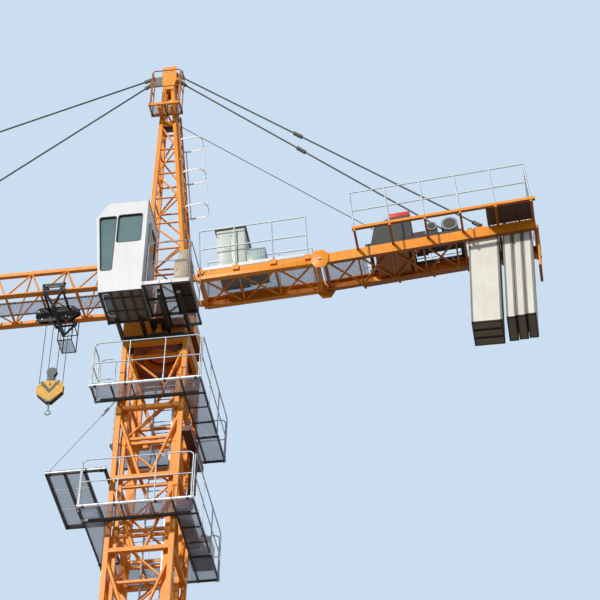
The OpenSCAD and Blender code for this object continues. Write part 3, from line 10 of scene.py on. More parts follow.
import bmesh
import bpy
from mathutils import Matrix, Vector


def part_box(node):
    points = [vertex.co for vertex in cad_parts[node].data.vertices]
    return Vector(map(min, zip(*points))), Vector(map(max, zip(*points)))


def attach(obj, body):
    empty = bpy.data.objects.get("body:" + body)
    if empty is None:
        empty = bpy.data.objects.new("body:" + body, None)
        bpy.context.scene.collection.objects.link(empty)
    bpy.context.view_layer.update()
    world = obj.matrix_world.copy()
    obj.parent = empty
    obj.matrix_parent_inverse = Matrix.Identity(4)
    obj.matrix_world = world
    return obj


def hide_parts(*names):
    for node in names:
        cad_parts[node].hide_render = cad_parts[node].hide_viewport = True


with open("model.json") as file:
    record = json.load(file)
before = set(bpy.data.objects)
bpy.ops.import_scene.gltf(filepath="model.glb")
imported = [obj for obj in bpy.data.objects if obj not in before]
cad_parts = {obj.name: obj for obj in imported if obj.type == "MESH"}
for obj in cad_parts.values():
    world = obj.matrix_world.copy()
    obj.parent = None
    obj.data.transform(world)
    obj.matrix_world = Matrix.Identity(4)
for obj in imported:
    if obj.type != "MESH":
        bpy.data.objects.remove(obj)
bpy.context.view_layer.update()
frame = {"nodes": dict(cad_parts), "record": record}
nodes = frame["nodes"]
scene = bpy.context.scene

# Camera
# It stands at the viewing angle of the photograph
PHOTO_WIDTH = 600.0
FOCAL_PIXELS = 2350.55
CENTRE_X = 371.066
CAM_POS = Vector((-9.372, 36.552, -17.607))
CAM_DIR = Vector((0.0993, -0.7351, 0.6706)).normalized()


def make_camera():
    data = bpy.data.cameras.new("camera")
    cam = bpy.data.objects.new("camera", data)
    scene.collection.objects.link(cam)
    right = CAM_DIR.cross(Vector((0, 0, 1))).normalized()
    up = right.cross(CAM_DIR)
    m = Matrix((right, up, -CAM_DIR)).transposed().to_4x4()
    m.translation = CAM_POS
    cam.matrix_world = m
    data.sensor_width = 36
    data.sensor_fit = "HORIZONTAL"
    data.lens = 36 * FOCAL_PIXELS / PHOTO_WIDTH
    data.shift_x = (PHOTO_WIDTH / 2 - CENTRE_X) / PHOTO_WIDTH
    data.clip_end = 500
    scene.camera = cam


# Materials
class Nodes:
    """Short helper round one material's node tree."""

    def __init__(self, name):
        self.mat = bpy.data.materials.new(name)
        self.mat.use_nodes = True
        self.tree = self.mat.node_tree
        self.tree.nodes.clear()
        self.out = self.add("ShaderNodeOutputMaterial")
        self.bsdf = self.add("ShaderNodeBsdfPrincipled")
        self.link(self.bsdf.outputs[0], self.out.inputs[0])
        self.coord = self.add("ShaderNodeTexCoord").outputs["Object"]

    def add(self, kind, **values):
        node = self.tree.nodes.new(kind)
        for key, value in values.items():
            setattr(node, key, value)
        return node

    def link(self, a, b):
        self.tree.links.new(a, b)

    def scaled(self, scale):
        n = self.add("ShaderNodeMapping")
        n.inputs["Scale"].default_value = scale
        self.link(self.coord, n.inputs["Vector"])
        return n.outputs[0]

    def noise(self, scale, detail=4.0, rough=0.55, vector=None):
        n = self.add("ShaderNodeTexNoise")
        n.inputs["Scale"].default_value = scale
        n.inputs["Detail"].default_value = detail
        n.inputs["Roughness"].default_value = rough
        self.link(vector or self.coord, n.inputs["Vector"])
        return n.outputs["Fac"]

    def voronoi(self, scale, output="Distance"):
        n = self.add("ShaderNodeTexVoronoi")
        n.inputs["Scale"].default_value = scale
        self.link(self.coord, n.inputs["Vector"])
        return n.outputs[output]

    def ramp(self, fac, stops):
        n = self.add("ShaderNodeValToRGB")
        ramp = n.color_ramp
        while len(ramp.elements) < len(stops):
            ramp.elements.new(0.5)
        for element, (pos, value) in zip(ramp.elements, stops):
            element.position = pos
            if not isinstance(value, (tuple, list)):
                value = (value, value, value)
            element.color = (*value[:3], 1)
        self.link(fac, n.inputs[0])
        return n.outputs[0]

    def patches(self, scale, detail, rough, start, end, top=1.0, vector=None):
        """Soft patches: 0 where the noise is below start, top where it is past end."""
        return self.ramp(self.noise(scale, detail, rough, vector), [(start, 0.0), (end, top)])

    def mix(self, fac, a, b):
        n = self.add("ShaderNodeMix", data_type="RGBA")
        for sock, value in ((n.inputs[0], fac), (n.inputs[6], a), (n.inputs[7], b)):
            if hasattr(value, "is_linked"):
                self.link(value, sock)
            elif isinstance(value, (tuple, list)):
                sock.default_value = (*value[:3], 1)
            else:
                sock.default_value = value
        return n.outputs[2]

    def math(self, op, a, b=0.0):
        n = self.add("ShaderNodeMath", operation=op)
        for sock, value in ((n.inputs[0], a), (n.inputs[1], b)):
            if hasattr(value, "is_linked"):
                self.link(value, sock)
            else:
                sock.default_value = value
        return n.outputs[0]

    def split(self, vector=None):
        n = self.add("ShaderNodeSeparateXYZ")
        self.link(vector or self.coord, n.inputs[0])
        return n.outputs

    def bump(self, height, strength=0.3, distance=0.002):
        n = self.add("ShaderNodeBump")
        n.inputs["Strength"].default_value = strength
        n.inputs["Distance"].default_value = distance
        self.link(height, n.inputs["Height"])
        self.link(n.outputs[0], self.bsdf.inputs["Normal"])

    def down_facing(self, low=0.7, high=0.9):
        """1 on faces that look down, 0 on the rest."""
        n = self.add("ShaderNodeNewGeometry")
        z = self.split(n.outputs["Normal"])[2]
        return self.ramp(self.math("MULTIPLY", z, -1.0), [(low, 0.0), (high, 1.0)])

    def set(self, name, value):
        sock = self.bsdf.inputs[name]
        if hasattr(value, "is_linked"):
            self.link(value, sock)
        elif isinstance(value, (tuple, list)):
            sock.default_value = (*value[:3], 1)
        else:
            sock.default_value = value


def paint(name, color, worn, dirt=0.35, rough=0.4, rust=0.0, streak=0.3, chip=0.5, belly=None,
          zone=None):
    """Brushed-on machine paint: faded patches, dirt in streaks, chips and rust.
    Where the underside colour is given, faces that look straight down have it: painted shade under the
    thing, with some dirt. zone is an axis, a limit and a colour: what lies past the limit is painted so."""
    m = Nodes(name)
    m.set("Specular IOR Level", 0.25)
    base = m.mix(m.patches(0.9, 5, 0.6, 0.35, 0.7), color, worn)
    fine = m.noise(38, 3, 0.6)
    base = m.mix(m.ramp(fine, [(0.3, 0.0), (0.75, 0.12)]), base, (0.05, 0.04, 0.03))
    # dirt washed downwards
    grime = m.patches(5.0, 4, 0.55, 0.52, 0.72, streak, m.scaled((3.2, 3.2, 0.35)))
    base = m.mix(grime, base, (0.09, 0.07, 0.05))
    base = m.mix(m.patches(2.3, 6, 0.65, 0.55, 0.8, dirt), base, (0.12, 0.08, 0.05))
    if rust:
        spots = m.noise(17, 6, 0.7)
        mask = m.ramp(spots, [(0.66 - rust * 0.1, 0.0), (0.72, chip)])
        tone = m.mix(m.noise(60, 3), (0.13, 0.035, 0.01), (0.24, 0.09, 0.03))
        base = m.mix(mask, base, tone)
        m.set("Roughness", m.ramp(spots, [(0.55, rough), (0.72, 0.85)]))
    else:
        m.set("Roughness", m.ramp(m.noise(11, 4), [(0.3, rough - 0.08), (0.7, rough + 0.14)]))
    # painted shade with some dirt on the faces that look down
    if belly:
        stain = m.mix(m.patches(4, 5, 0.6, 0.3, 0.7), belly, [c * 1.5 for c in belly])
        base = m.mix(m.down_facing(), base, stain)
    if zone:
        axis, limit, other = zone
        past = m.ramp(m.math("SUBTRACT", m.split()[axis], limit - 0.5), [(0.499, 0.0), (0.501, 1.0)])
        base = m.mix(past, base, m.mix(fine, other, [c * 1.6 for c in other]))
    m.set("Base Color", base)
    m.bump(m.noise(90, 3), 0.25, 0.0012)
    return m.mat


def zinc(name, color=(0.46, 0.48, 0.50), dark=(0.39, 0.41, 0.43), pale=(0.62, 0.63, 0.63),
         metallic=0.55):
    """Hot-dip galvanised steel with spangle and dull pale bloom."""
    m = Nodes(name)
    spangle = m.voronoi(55, output="Color")
    grey = m.add("ShaderNodeRGBToBW")
    m.link(spangle, grey.inputs[0])
    base = m.mix(m.ramp(grey.outputs[0], [(0.0, 0.0), (1.0, 1.0)]), color, dark)
    base = m.mix(m.patches(3.4, 5, 0.6, 0.48, 0.75, 0.55), base, pale)
    stain = m.patches(7, 5, 0.6, 0.62, 0.8, 0.3, m.scaled((2, 2, 0.4)))
    base = m.mix(stain, base, (0.22, 0.16, 0.10))
    m.set("Base Color", base)
    m.set("Metallic", metallic)
    m.set("Roughness", m.ramp(m.noise(20, 4), [(0.3, 0.42), (0.7, 0.62)]))
    m.bump(m.noise(120, 3), 0.2, 0.001)
    return m.mat


def concrete_mat(name):
    """Cast concrete: clouds, runs, stains and air holes, with painted shade in the holes and on the
    underside.
    """
    m = Nodes(name)
    base = m.mix(m.patches(1.6, 6, 0.6, 0.3, 0.72), (0.66, 0.65, 0.57), (0.76, 0.75, 0.68))
    runs = m.patches(6, 5, 0.6, 0.5, 0.75, 0.35, m.scaled((3, 3, 0.25)))
    base = m.mix(runs, base, (0.48, 0.45, 0.38))
    base = m.mix(m.patches(26, 5, 0.7, 0.62, 0.75, 0.5), base, (0.30, 0.28, 0.23))
    # air holes drawn dark: painted shade inside the holes
    pores = m.ramp(m.voronoi(34), [(0.05, 1.0), (0.12, 0.0)])
    holes = m.math("MULTIPLY", pores, m.patches(12, 2, 0.55, 0.5, 0.6))
    base = m.mix(holes, base, (0.17, 0.15, 0.12))
    # darker on the underside: painted shade with dirt
    base = m.mix(m.down_facing(), base, m.mix(m.noise(5, 4), (0.17, 0.13, 0.09), (0.27, 0.22, 0.16)))
    m.set("Base Color", base)
    m.set("Roughness", 0.9)
    grain = m.math("ADD", m.noise(150, 4, 0.6), m.math("MULTIPLY", holes, -1.5))
    m.bump(grain, 0.5, 0.003)
    return m.mat


def steel(name, color, other, rough=0.45, metallic=0.7, rust=0.0):
    """Bare steel in two tones, with rust in spots."""
    m = Nodes(name)
    base = m.mix(m.patches(9, 5, 0.6, 0.3, 0.7), color, other)
    if rust:
        base = m.mix(m.patches(14, 6, 0.7, 0.5, 0.68, rust), base, (0.19, 0.07, 0.025))
    m.set("Base Color", base)
    m.set("Metallic", metallic)
    m.set("Roughness", m.ramp(m.noise(30, 4), [(0.3, rough - 0.1), (0.7, rough + 0.18)]))
    m.bump(m.noise(140, 3), 0.3, 0.0012)
    return m.mat


def rope_mat(name):
    """Laid strands round a thin rope, drawn as slanted bands."""
    m = Nodes(name)
    wave = m.add("ShaderNodeTexWave", wave_type="BANDS", bands_direction="DIAGONAL")
    wave.inputs["Scale"].default_value = 24
    wave.inputs["Distortion"].default_value = 0.6
    m.link(m.coord, wave.inputs["Vector"])
    # dark bands between the strands: painted shade in the grooves
    base = m.mix(wave.outputs["Fac"], (0.02, 0.02, 0.02), (0.09, 0.085, 0.08))
    m.set("Base Color", base)
    m.set("Metallic", 0.6)
    m.set("Roughness", 0.5)
    m.bump(wave.outputs["Fac"], 0.6, 0.002)
    return m.mat


def glass_mat(name):
    """Tinted glass with dust."""
    m = Nodes(name)
    tint = m.mix(m.patches(1.3, 3, 0.55, 0.3, 0.7), (0.13, 0.24, 0.25), (0.19, 0.31, 0.31))
    dust = m.patches(40, 5, 0.7, 0.55, 0.8, 0.25)
    m.set("Base Color", m.mix(dust, tint, (0.4, 0.38, 0.33)))
    m.set("Transmission Weight", 0.35)
    m.set("Roughness", m.ramp(m.noise(8, 3), [(0.3, 0.03), (0.7, 0.12)]))
    m.set("IOR", 1.5)
    m.set("Coat Weight", 0.4)
    return m.mat


def vinyl_mat(name):
    """Black grained vinyl or rubber."""
    m = Nodes(name)
    m.set("Base Color", m.mix(m.noise(14, 4), (0.018, 0.018, 0.02), (0.05, 0.05, 0.052)))
    m.set("Roughness", 0.6)
    m.bump(m.voronoi(260), 0.5, 0.0015)
    return m.mat


def chevron_mat(name, centre):
    """Yellow block with one steep dark V; painted shade makes it black where it looks down and dark along
    the lower slopes.
    """
    m = Nodes(name)
    m.set("Specular IOR Level", 0.25)
    x, y, z = m.split()
    dx = m.math("ABSOLUTE", m.math("SUBTRACT", x, centre[0]))
    up = m.math("SUBTRACT", z, centre[2])
    band = m.math("SUBTRACT", up, m.math("MULTIPLY", dx, 1.38))
    stripe = m.ramp(band, [(0.185, 0.0), (0.191, 1.0), (0.305, 1.0), (0.311, 0.0)])
    worn = m.patches(8, 5, 0.6, 0.35, 0.7)
    yellow = m.mix(worn, (0.70, 0.36, 0.008), (0.58, 0.31, 0.02))
    grey = m.mix(worn, (0.055, 0.06, 0.03), (0.09, 0.09, 0.05))
    base = m.mix(stripe, yellow, grey)
    # painted shade: a dark rim along the lower slopes
    rim = m.math("SUBTRACT", up, m.math("MULTIPLY", dx, 0.75))
    base = m.mix(m.ramp(m.math("ADD", rim, 0.5), [(0.488, 1.0), (0.492, 0.0)]), base,
                 (0.12, 0.10, 0.11))
    base = m.mix(m.patches(24, 6, 0.7, 0.62, 0.68, 0.8), base, (0.13, 0.07, 0.035))
    # painted shade: black on the faces that look down
    base = m.mix(m.down_facing(0.3, 0.45), base, (0.015, 0.015, 0.016))
    m.set("Base Color", base)
    m.set("Roughness", m.ramp(m.noise(20, 4), [(0.3, 0.35), (0.7, 0.6)]))
    m.bump(m.noise(80, 4), 0.3, 0.0015)
    return m.mat


def machine_orange(name, worn=(0.90, 0.33, 0.018), dirt=0.22, **extra):
    return paint(name, (0.86, 0.28, 0.006), worn, dirt=dirt, rust=0.3, chip=0.5, **extra)


X_AXIS, Y_AXIS = 0, 1
ORANGE = machine_orange("orange_paint")
# the slewing unit is darker where it faces down, painted shade with some dirt, and the arms under the cab
# are dark
TABLE = machine_orange("turntable_paint", (0.88, 0.31, 0.015), 0.25, belly=(0.16, 0.045, 0.012),
                       zone=(Y_AXIS, 0.55, (0.03, 0.028, 0.025)))
# the rear beam is a darker brown where it faces down, on the floor under the winch too: painted shade with
# some dirt
REAR_PAINT = machine_orange("rear_beam_paint", belly=(0.30, 0.095, 0.02))
# the links of the jib ties at the head are grey
HEAD = machine_orange("head_paint", zone=(X_AXIS, 0.47, (0.12, 0.12, 0.11)))
# the white paint is darker where it faces down: painted shade with some dirt
WHITE = paint("white_paint", (0.78, 0.79, 0.80), (0.70, 0.72, 0.73), dirt=0.06, rough=0.35, streak=0.07,
              belly=(0.17, 0.15, 0.125))
LADDER_WHITE = paint("ladder_paint", (0.80, 0.81, 0.82), (0.74, 0.76, 0.77), dirt=0.05, rough=0.4,
                     streak=0.05)
RAIL_ORANGE = paint("rail_paint", (0.46, 0.17, 0.03), (0.36, 0.12, 0.03), dirt=0.3, rough=0.5, rust=0.3)
PALE_BOX = paint("pale_box_paint", (0.60, 0.64, 0.58), (0.53, 0.58, 0.53), dirt=0.08, rough=0.4,
                 streak=0.1)
EDGE_BROWN = paint("brown_edge_paint", (0.20, 0.10, 0.08), (0.14, 0.08, 0.07), dirt=0.4, rough=0.6,
                   rust=0.3)
RAIL_GREY = zinc("grey_rail_steel", (0.30, 0.31, 0.32), (0.24, 0.25, 0.26), (0.40, 0.40, 0.41), 0.3)
# the beige box is darker where it faces down: painted shade with some dirt
BEIGE = paint("beige_box_paint", (0.46, 0.38, 0.27), (0.40, 0.33, 0.24), dirt=0.3, rough=0.45,
              belly=(0.16, 0.11, 0.075))
SAGE = paint("green_grey_box_paint", (0.36, 0.50, 0.46), (0.31, 0.44, 0.41), dirt=0.2, rough=0.4)
DOOR = paint("grey_door_paint", (0.52, 0.54, 0.56), (0.57, 0.58, 0.59), dirt=0.2, rough=0.4)
WINCH = paint("winch_paint", (0.028, 0.034, 0.028), (0.05, 0.055, 0.045), dirt=0.4, rough=0.5, rust=0.2)
TIE = paint("dark_tie_steel", (0.075, 0.085, 0.07), (0.12, 0.12, 0.09), dirt=0.3, rough=0.6, rust=0.5)
TROLLEY = paint("dark_trolley_paint", (0.014, 0.015, 0.016), (0.03, 0.03, 0.03), dirt=0.4, rough=0.5,
                rust=0.2)
SHEAVE = paint("sheave_paint", (0.10, 0.115, 0.10), (0.075, 0.085, 0.075), dirt=0.4, rough=0.5,
               rust=0.3)
JACK = paint("jack_steel", (0.15, 0.035, 0.018), (0.10, 0.03, 0.02), dirt=0.3, rough=0.45)
FRAME = paint("dark_frame_paint", (0.045, 0.042, 0.038), (0.085, 0.08, 0.07), dirt=0.4, rough=0.55,
              rust=0.35)
# dark brown plates: painted shade of their undersides, with real rust and dirt
SHADED_PLATE = paint("brown_plate_painted_shade", (0.10, 0.05, 0.03), (0.06, 0.035, 0.028), dirt=0.5, rough=0.6,
              rust=0.5)
RED = paint("red_cover_paint", (0.72, 0.035, 0.02), (0.62, 0.06, 0.04), dirt=0.2, rough=0.4)
MOTOR = paint("grey_motor_paint", (0.30, 0.31, 0.31), (0.24, 0.25, 0.25), dirt=0.35, rough=0.45,
              rust=0.2)
ZINC = zinc("galvanised_steel")
BRIGHT = zinc("bright_tube_steel", (0.74, 0.75, 0.76), (0.60, 0.61, 0.62))
# the mesh floors' zinc is dark and bluish: painted shade on their undersides, in the blue of the sky light
MESH = zinc("mesh_steel_painted_shade", (0.26, 0.28, 0.34), (0.20, 0.22, 0.28), (0.36, 0.38, 0.43), 0.25)
CONCRETE = concrete_mat("concrete")
RING = steel("ring_steel", (0.06, 0.055, 0.05), (0.12, 0.11, 0.09), 0.4, 0.7, 0.2)
WHEEL = steel("wheel_steel", (0.09, 0.09, 0.09), (0.18, 0.17, 0.16), 0.45, 0.8)
HOOK = steel("hook_steel", (0.14, 0.15, 0.14), (0.24, 0.25, 0.23), 0.45, 0.6, 0.25)
BOLT = steel("bolt_steel", (0.20, 0.20, 0.20), (0.32, 0.31, 0.30), 0.4, 0.8, 0.5)
ROPE = rope_mat("rope_steel")
GLASS = glass_mat("tinted_glass")
VINYL = vinyl_mat("seat_vinyl")
RUBBER = vinyl_mat("rubber")
hook_lo, hook_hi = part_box("hook_block")
CHEVRON = chevron_mat("yellow_paint", ((hook_lo[0] + hook_hi[0]) / 2, 0, hook_lo[2] + 0.04))

SLOT_MATERIAL = {
    "orange_paint": ORANGE, "white_paint": WHITE, "beige_box_paint": BEIGE,
    "green_grey_box_paint": SAGE, "grey_door_paint": DOOR, "winch_paint": WINCH,
    "dark_tie_steel": TIE, "dark_trolley_paint": TROLLEY, "sheave_paint": SHEAVE,
    "jack_steel": JACK, "galvanised_steel": ZINC, "concrete": CONCRETE,
    "ring_steel": RING, "wheel_steel": WHEEL, "hook_steel": HOOK, "rope_steel": ROPE,
    "tinted_glass": GLASS, "seat_vinyl": VINYL, "yellow_paint": CHEVRON,
}
node_slot = {p["node"]: p["material_slot"] for p in frame["record"]["subparts"]}
NODE_MATERIAL = {"turntable": TABLE, "bearing_seat": TABLE, "counter_jib_rear": REAR_PAINT,
                 "tower_head": HEAD}
for name, obj in nodes.items():
    obj.data.materials.clear()
    obj.data.materials.append(NODE_MATERIAL.get(name, SLOT_MATERIAL[node_slot[name]]))

make_camera()


# Mesh code
class Piece:
    """Solids gathered in one mesh. place() moves each point that is added."""

    def __init__(self, name, body, slot, place=Vector):
        self.bm = bmesh.new()
        self.name, self.body, self.slot = name, body, slot
        self.place = place
        self.mats = []

    def solid(self, points, faces, mat, bevel=0.0):
        if mat not in self.mats:
            self.mats.append(mat)
        verts = [self.bm.verts.new(self.place(Vector(p))) for p in points]
        made = [self.bm.faces.new([verts[i] for i in f]) for f in faces]
        bmesh.ops.recalc_face_normals(self.bm, faces=made)
        for face in made:
            face.material_index = self.mats.index(mat)
            face.smooth = True
        if bevel:
            edges = list({e for f in made for e in f.edges})
            bmesh.ops.bevel(self.bm, geom=edges, offset=bevel, segments=2, affect="EDGES",
                            profile=0.5, clamp_overlap=True)

    def prism(self, outline, lift, mat, bevel=0.0):
        """Closed solid between an outline and the same outline moved by lift."""
        n = len(outline)
        low = [Vector(p) for p in outline]
        points = low + [p + Vector(lift) for p in low]
        faces = [tuple(range(n))[::-1], tuple(range(n, 2 * n))]
        faces += [(i, (i + 1) % n, n + (i + 1) % n, n + i) for i in range(n)]
        self.solid(points, faces, mat, bevel)

    def ring(self, outer, inner, lift, mat):
        """Closed frame between two outlines with as many points."""
        n = len(outer)
        rows = [[Vector(p) for p in outer], [Vector(p) for p in inner]]
        rows = [rows[0], rows[1], [p + Vector(lift) for p in rows[1]],
                [p + Vector(lift) for p in rows[0]]]
        faces = []
        for a in range(4):
            b = (a + 1) % 4
            faces += [(a * n + i, a * n + (i + 1) % n, b * n + (i + 1) % n,
                       b * n + i) for i in range(n)]
        self.solid([p for row in rows for p in row], faces, mat)

    def box(self, lo, hi, mat, bevel=0.0):
        (x0, y0, z0), (x1, y1, z1) = lo, hi
        self.prism([(x0, y0, z0), (x1, y0, z0), (x1, y1, z0), (x0, y1, z0)], (0, 0, z1 - z0), mat,
                   bevel)

    def sweep(self, path, section, mat, closed=False):
        """Section points carried along a path; section is (side, up) pairs."""
        path = [Vector(p) for p in path]
        count, n = len(path), len(section)
        points = []
        for i, p in enumerate(path):
            before = path[i - 1] if i or closed else p
            after = path[(i + 1) % count] if i < count - 1 or closed else p
            along = (after - before).normalized()
            guide = Vector((0, 0, 1)) if abs(along.z) < 0.95 else Vector((1, 0, 0))
            if i and abs(along.dot(side)) < 0.9:
                side = (side - along * side.dot(along)).normalized()
            else:
                side = along.cross(guide).normalized()
            up = side.cross(along)
            points += [p + side * a + up * b for a, b in section]
        faces = [(i * n + k, i * n + (k + 1) % n, j * n + (k + 1) % n, j * n + k)
                 for i, j in [(i, (i + 1) % count) for i in range(count if closed else count - 1)]
                 for k in range(n)]
        if not closed:
            faces += [tuple(range(n)), tuple(range((count - 1) * n, count * n))]
        self.solid(points, faces, mat)

    def tube(self, path, radius, mat, sides=10, bend=0.0, closed=False):
        if bend:
            path = rounded_path(path, bend)
        section = [(radius * math.cos(a), radius * math.sin(a))
                   for a in (2 * math.pi * k / sides for k in range(sides))]
        self.sweep(path, section, mat, closed)

    def beam(self, p, q, width, height, mat):
        w, h = width / 2, height / 2
        self.sweep([p, q], [(-w, -h), (w, -h), (w, h), (-w, h)], mat)

    def channel(self, p, q, width, height, mat, wall=0.008):
        """Open channel, its web on the left of the way from p to q."""
        w, h, t = width / 2, height / 2, wall
        self.sweep([p, q], [(w, -h), (w, -h + t), (-w + t, -h + t), (-w + t, h - t),
                            (w, h - t), (w, h), (-w, h), (-w, -h)], mat)

    def mesh_floor(self, lo, hi, z, mat, pitch=0.029, strand=0.0085, slant=0.5):
        """Expanded metal: two families of slanted strands over a rectangle."""
        lo = [v + strand / 2 for v in lo]
        hi = [v - strand / 2 for v in hi]
        for tilt in (slant, -slant):
            d = Vector((math.cos(tilt), math.sin(tilt)))
            n = Vector((-d.y, d.x))
            spots = [n.x * x + n.y * y for x in (lo[0], hi[0]) for y in (lo[1], hi[1])]
            c = min(spots) + pitch / 2
            while c < max(spots):
                ends = clip_line(n * c, d, lo, hi)
                if ends and (ends[1] - ends[0]).length > pitch:
                    w = n * (strand / 2)
                    a, b = ends
                    level = z + (0.001 if tilt > 0 else -0.001)
                    self.prism([(*(a - w), level), (*(b - w), level), (*(b + w), level),
                                (*(a + w), level)],
                               (0, 0, 0.004), mat)
                c += pitch

    def bolts(self, spots, axis, size, mat=None):
        """Hexagon heads on washers, pointing along an axis."""
        axis = Vector(axis).normalized()
        side = axis.orthogonal().normalized()
        other = axis.cross(side)
        for spot in spots:
            spot = Vector(spot)
            for radius, sides, lift in ((size * 1.05, 16, size * 0.12), (size * 0.9, 6, size * 0.75)):
                outline = [spot + side * radius * math.cos(a) + other * radius * math.sin(a)
                           for a in (2 * math.pi * k / sides for k in range(sides))]
                self.prism(outline, axis * lift, mat or BOLT)

    def done(self, *replaced):
        mesh = bpy.data.meshes.new(self.name)
        self.bm.to_mesh(mesh)
        self.bm.free()
        for mat in self.mats:
            mesh.materials.append(mat)
        mesh.set_sharp_from_angle(angle=math.radians(40))
        obj = bpy.data.objects.new(self.name, mesh)
        scene.collection.objects.link(obj)
        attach(obj, self.body)
        if replaced:
            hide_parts(*replaced)
        return obj


def clip_line(p, d, lo, hi):
    """Part of the line p + t d inside a rectangle, or None."""
    t0, t1 = -1e6, 1e6
    for k in (0, 1):
        if abs(d[k]) < 1e-9:
            if not lo[k] <= p[k] <= hi[k]:
                return None
            continue
        a, b = sorted(((lo[k] - p[k]) / d[k], (hi[k] - p[k]) / d[k]))
        t0, t1 = max(t0, a), min(t1, b)
    return (p + d * t0, p + d * t1) if t1 > t0 else None


def rounded_path(points, radius, steps=6):
    """The same path with each inner corner turned on a radius."""
    points = [Vector(p) for p in points]
    out = [points[0]]
    for a, b, c in zip(points, points[1:], points[2:]):
        u, v = (a - b).normalized(), (c - b).normalized()
        half = u.angle(v) / 2
        reach = min(radius / math.tan(half), 0.45 * (a - b).length, 0.45 * (c - b).length)
        r = reach * math.tan(half)
        centre = b + (u + v).normalized() * (r / math.sin(half))
        start, end = b + u * reach - centre, b + v * reach - centre
        for k in range(steps + 1):
            out.append(centre + turned(start, end, k / steps))
    out.append(points[-1])
    return out


def turned(a, b, t):
    """Point on the arc from a to b round the origin."""
    angle = a.angle(b)
    return (a * math.sin((1 - t) * angle) + b * math.sin(t * angle)) / math.sin(angle)


def rounded_outline(points, radius, steps=5):
    """Outline that stands off a convex polygon by radius, with round corners."""
    points = [Vector(p) for p in points]
    n = len(points)
    area = sum(points[i].x * points[(i + 1) % n].y - points[(i + 1) % n].x * points[i].y for i in range(n))
    if area < 0:
        points.reverse()
    out = []
    for i, p in enumerate(points):
        a = (p - points[i - 1]).normalized()
        b = (points[(i + 1) % n] - p).normalized()
        start = math.atan2(-a.x, a.y)
        turn = (math.atan2(-b.x, b.y) - start) % (2 * math.pi)
        for k in range(steps + 1):
            angle = start + turn * k / steps
            out.append(Vector((p.x + radius * math.cos(angle), p.y + radius * math.sin(angle))))
    return out


# Walkways
# Handrails: each straight side is one bent tube with posts and a knee rail
RAIL_R = 0.0135


def rail_side(piece, a, b, z, height=1.1, spacing=0.8, bend=0.11, mat=ZINC, r=RAIL_R):
    a, b = Vector(a), Vector(b)
    along = (b - a).normalized()
    a, b = a + along * 0.03, b - along * 0.03
    top = z + height - r
    piece.tube([(*a, z), (*a, top), (*b, top), (*b, z)], r, mat, bend=bend)
    piece.tube([(*a, z + height / 2), (*b, z + height / 2)], r * 0.9, mat)
    count = max(1, round((b - a).length / spacing))
    for k in range(count + 1):
        p = a.lerp(b, k / count)
        if 0 < k < count:
            piece.tube([(*p, z), (*p, top)], r * 0.95, mat)
        piece.tube([(*p, z - 0.07), (*p, z + 0.09)], r * 1.35, mat)


def walkway_rails(name, node, z, runs):
    piece = Piece(name, "mast", "galvanised_steel")
    for a, b in runs:
        rail_side(piece, a, b, z)
    piece.done(node)


# Working platforms of the climbing frame
CAGE = 0.69


def walkway(name, node, four_sided):
    (x0, y0, zb), (x1, y1, z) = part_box(node)
    piece = Piece(name, "mast", "galvanised_steel")
    mid = (zb + z) / 2
    deep = z - zb
    floor = z - 0.008
    strips = [((x0, CAGE), (x1, y1)), ((x0, y0), (x1, -CAGE)), ((x0, -CAGE), (-CAGE, CAGE))]
    if four_sided:
        strips.append(((CAGE, -CAGE), (x1, CAGE)))
    for lo, hi in strips:
        piece.mesh_floor(lo, hi, floor, MESH)
    # dark channels round the strips, square to them and under their middles
    for y in (CAGE + 0.03, -CAGE - 0.03, y0 + 0.03):
        piece.channel((x0, y, mid), (x1, y, mid), 0.03, deep - 0.02, FRAME)
    side_xs = [x0 + 0.03, -CAGE - 0.03] + ([CAGE + 0.03, x1 - 0.03] if four_sided else [])
    for x in side_xs:
        piece.channel((x, y0, mid), (x, y1, mid), 0.03, deep - 0.02, FRAME)
    if not four_sided:
        for lo, hi in ((CAGE, y1), (y0, -CAGE)):
            for x in (CAGE + 0.03, x1 - 0.03):
                piece.channel((x, lo, mid), (x, hi, mid), 0.03, deep - 0.02, FRAME)
    for x in (-0.3, 0.3):
        for lo, hi in ((CAGE, y1), (y0, -CAGE)):
            piece.beam((x, lo, mid + 0.012), (x, hi, mid + 0.012), 0.018, deep - 0.04, FRAME)
    for y in (-0.25, 0.25):
        piece.beam((x0, y, mid + 0.012), (-CAGE, y, mid + 0.012), 0.018, deep - 0.04, FRAME)
    # bright tube along the edge towards the cab side, with its clamps
    tube_r = 0.031
    edge_y, edge_z = y1 - tube_r, z - tube_r
    piece.tube([(x0, edge_y, edge_z), (x1, edge_y, edge_z)], tube_r, BRIGHT, 14)
    for x in (x0 + 0.12, -0.4, 0.4, x1 - 0.12):
        piece.box((x - 0.03, edge_y - tube_r - 0.012, zb), (x + 0.03, y1 - 0.002, z), FRAME, 0.004)
    # bright ends of the slide-in tubes beside the frame
    for x in (x0, x1 - 0.13):
        piece.tube([(x, CAGE + 0.085, mid), (x + 0.13, CAGE + 0.085, mid)], 0.024, BRIGHT, 12)
    piece.tube([(x0, CAGE + 0.085, mid), (x1, CAGE + 0.085, mid)], 0.018, FRAME, 12)
    piece.done(node)


walkway("upper_walkway", "upper_platform", False)
walkway("lower_walkway", "lower_platform", True)

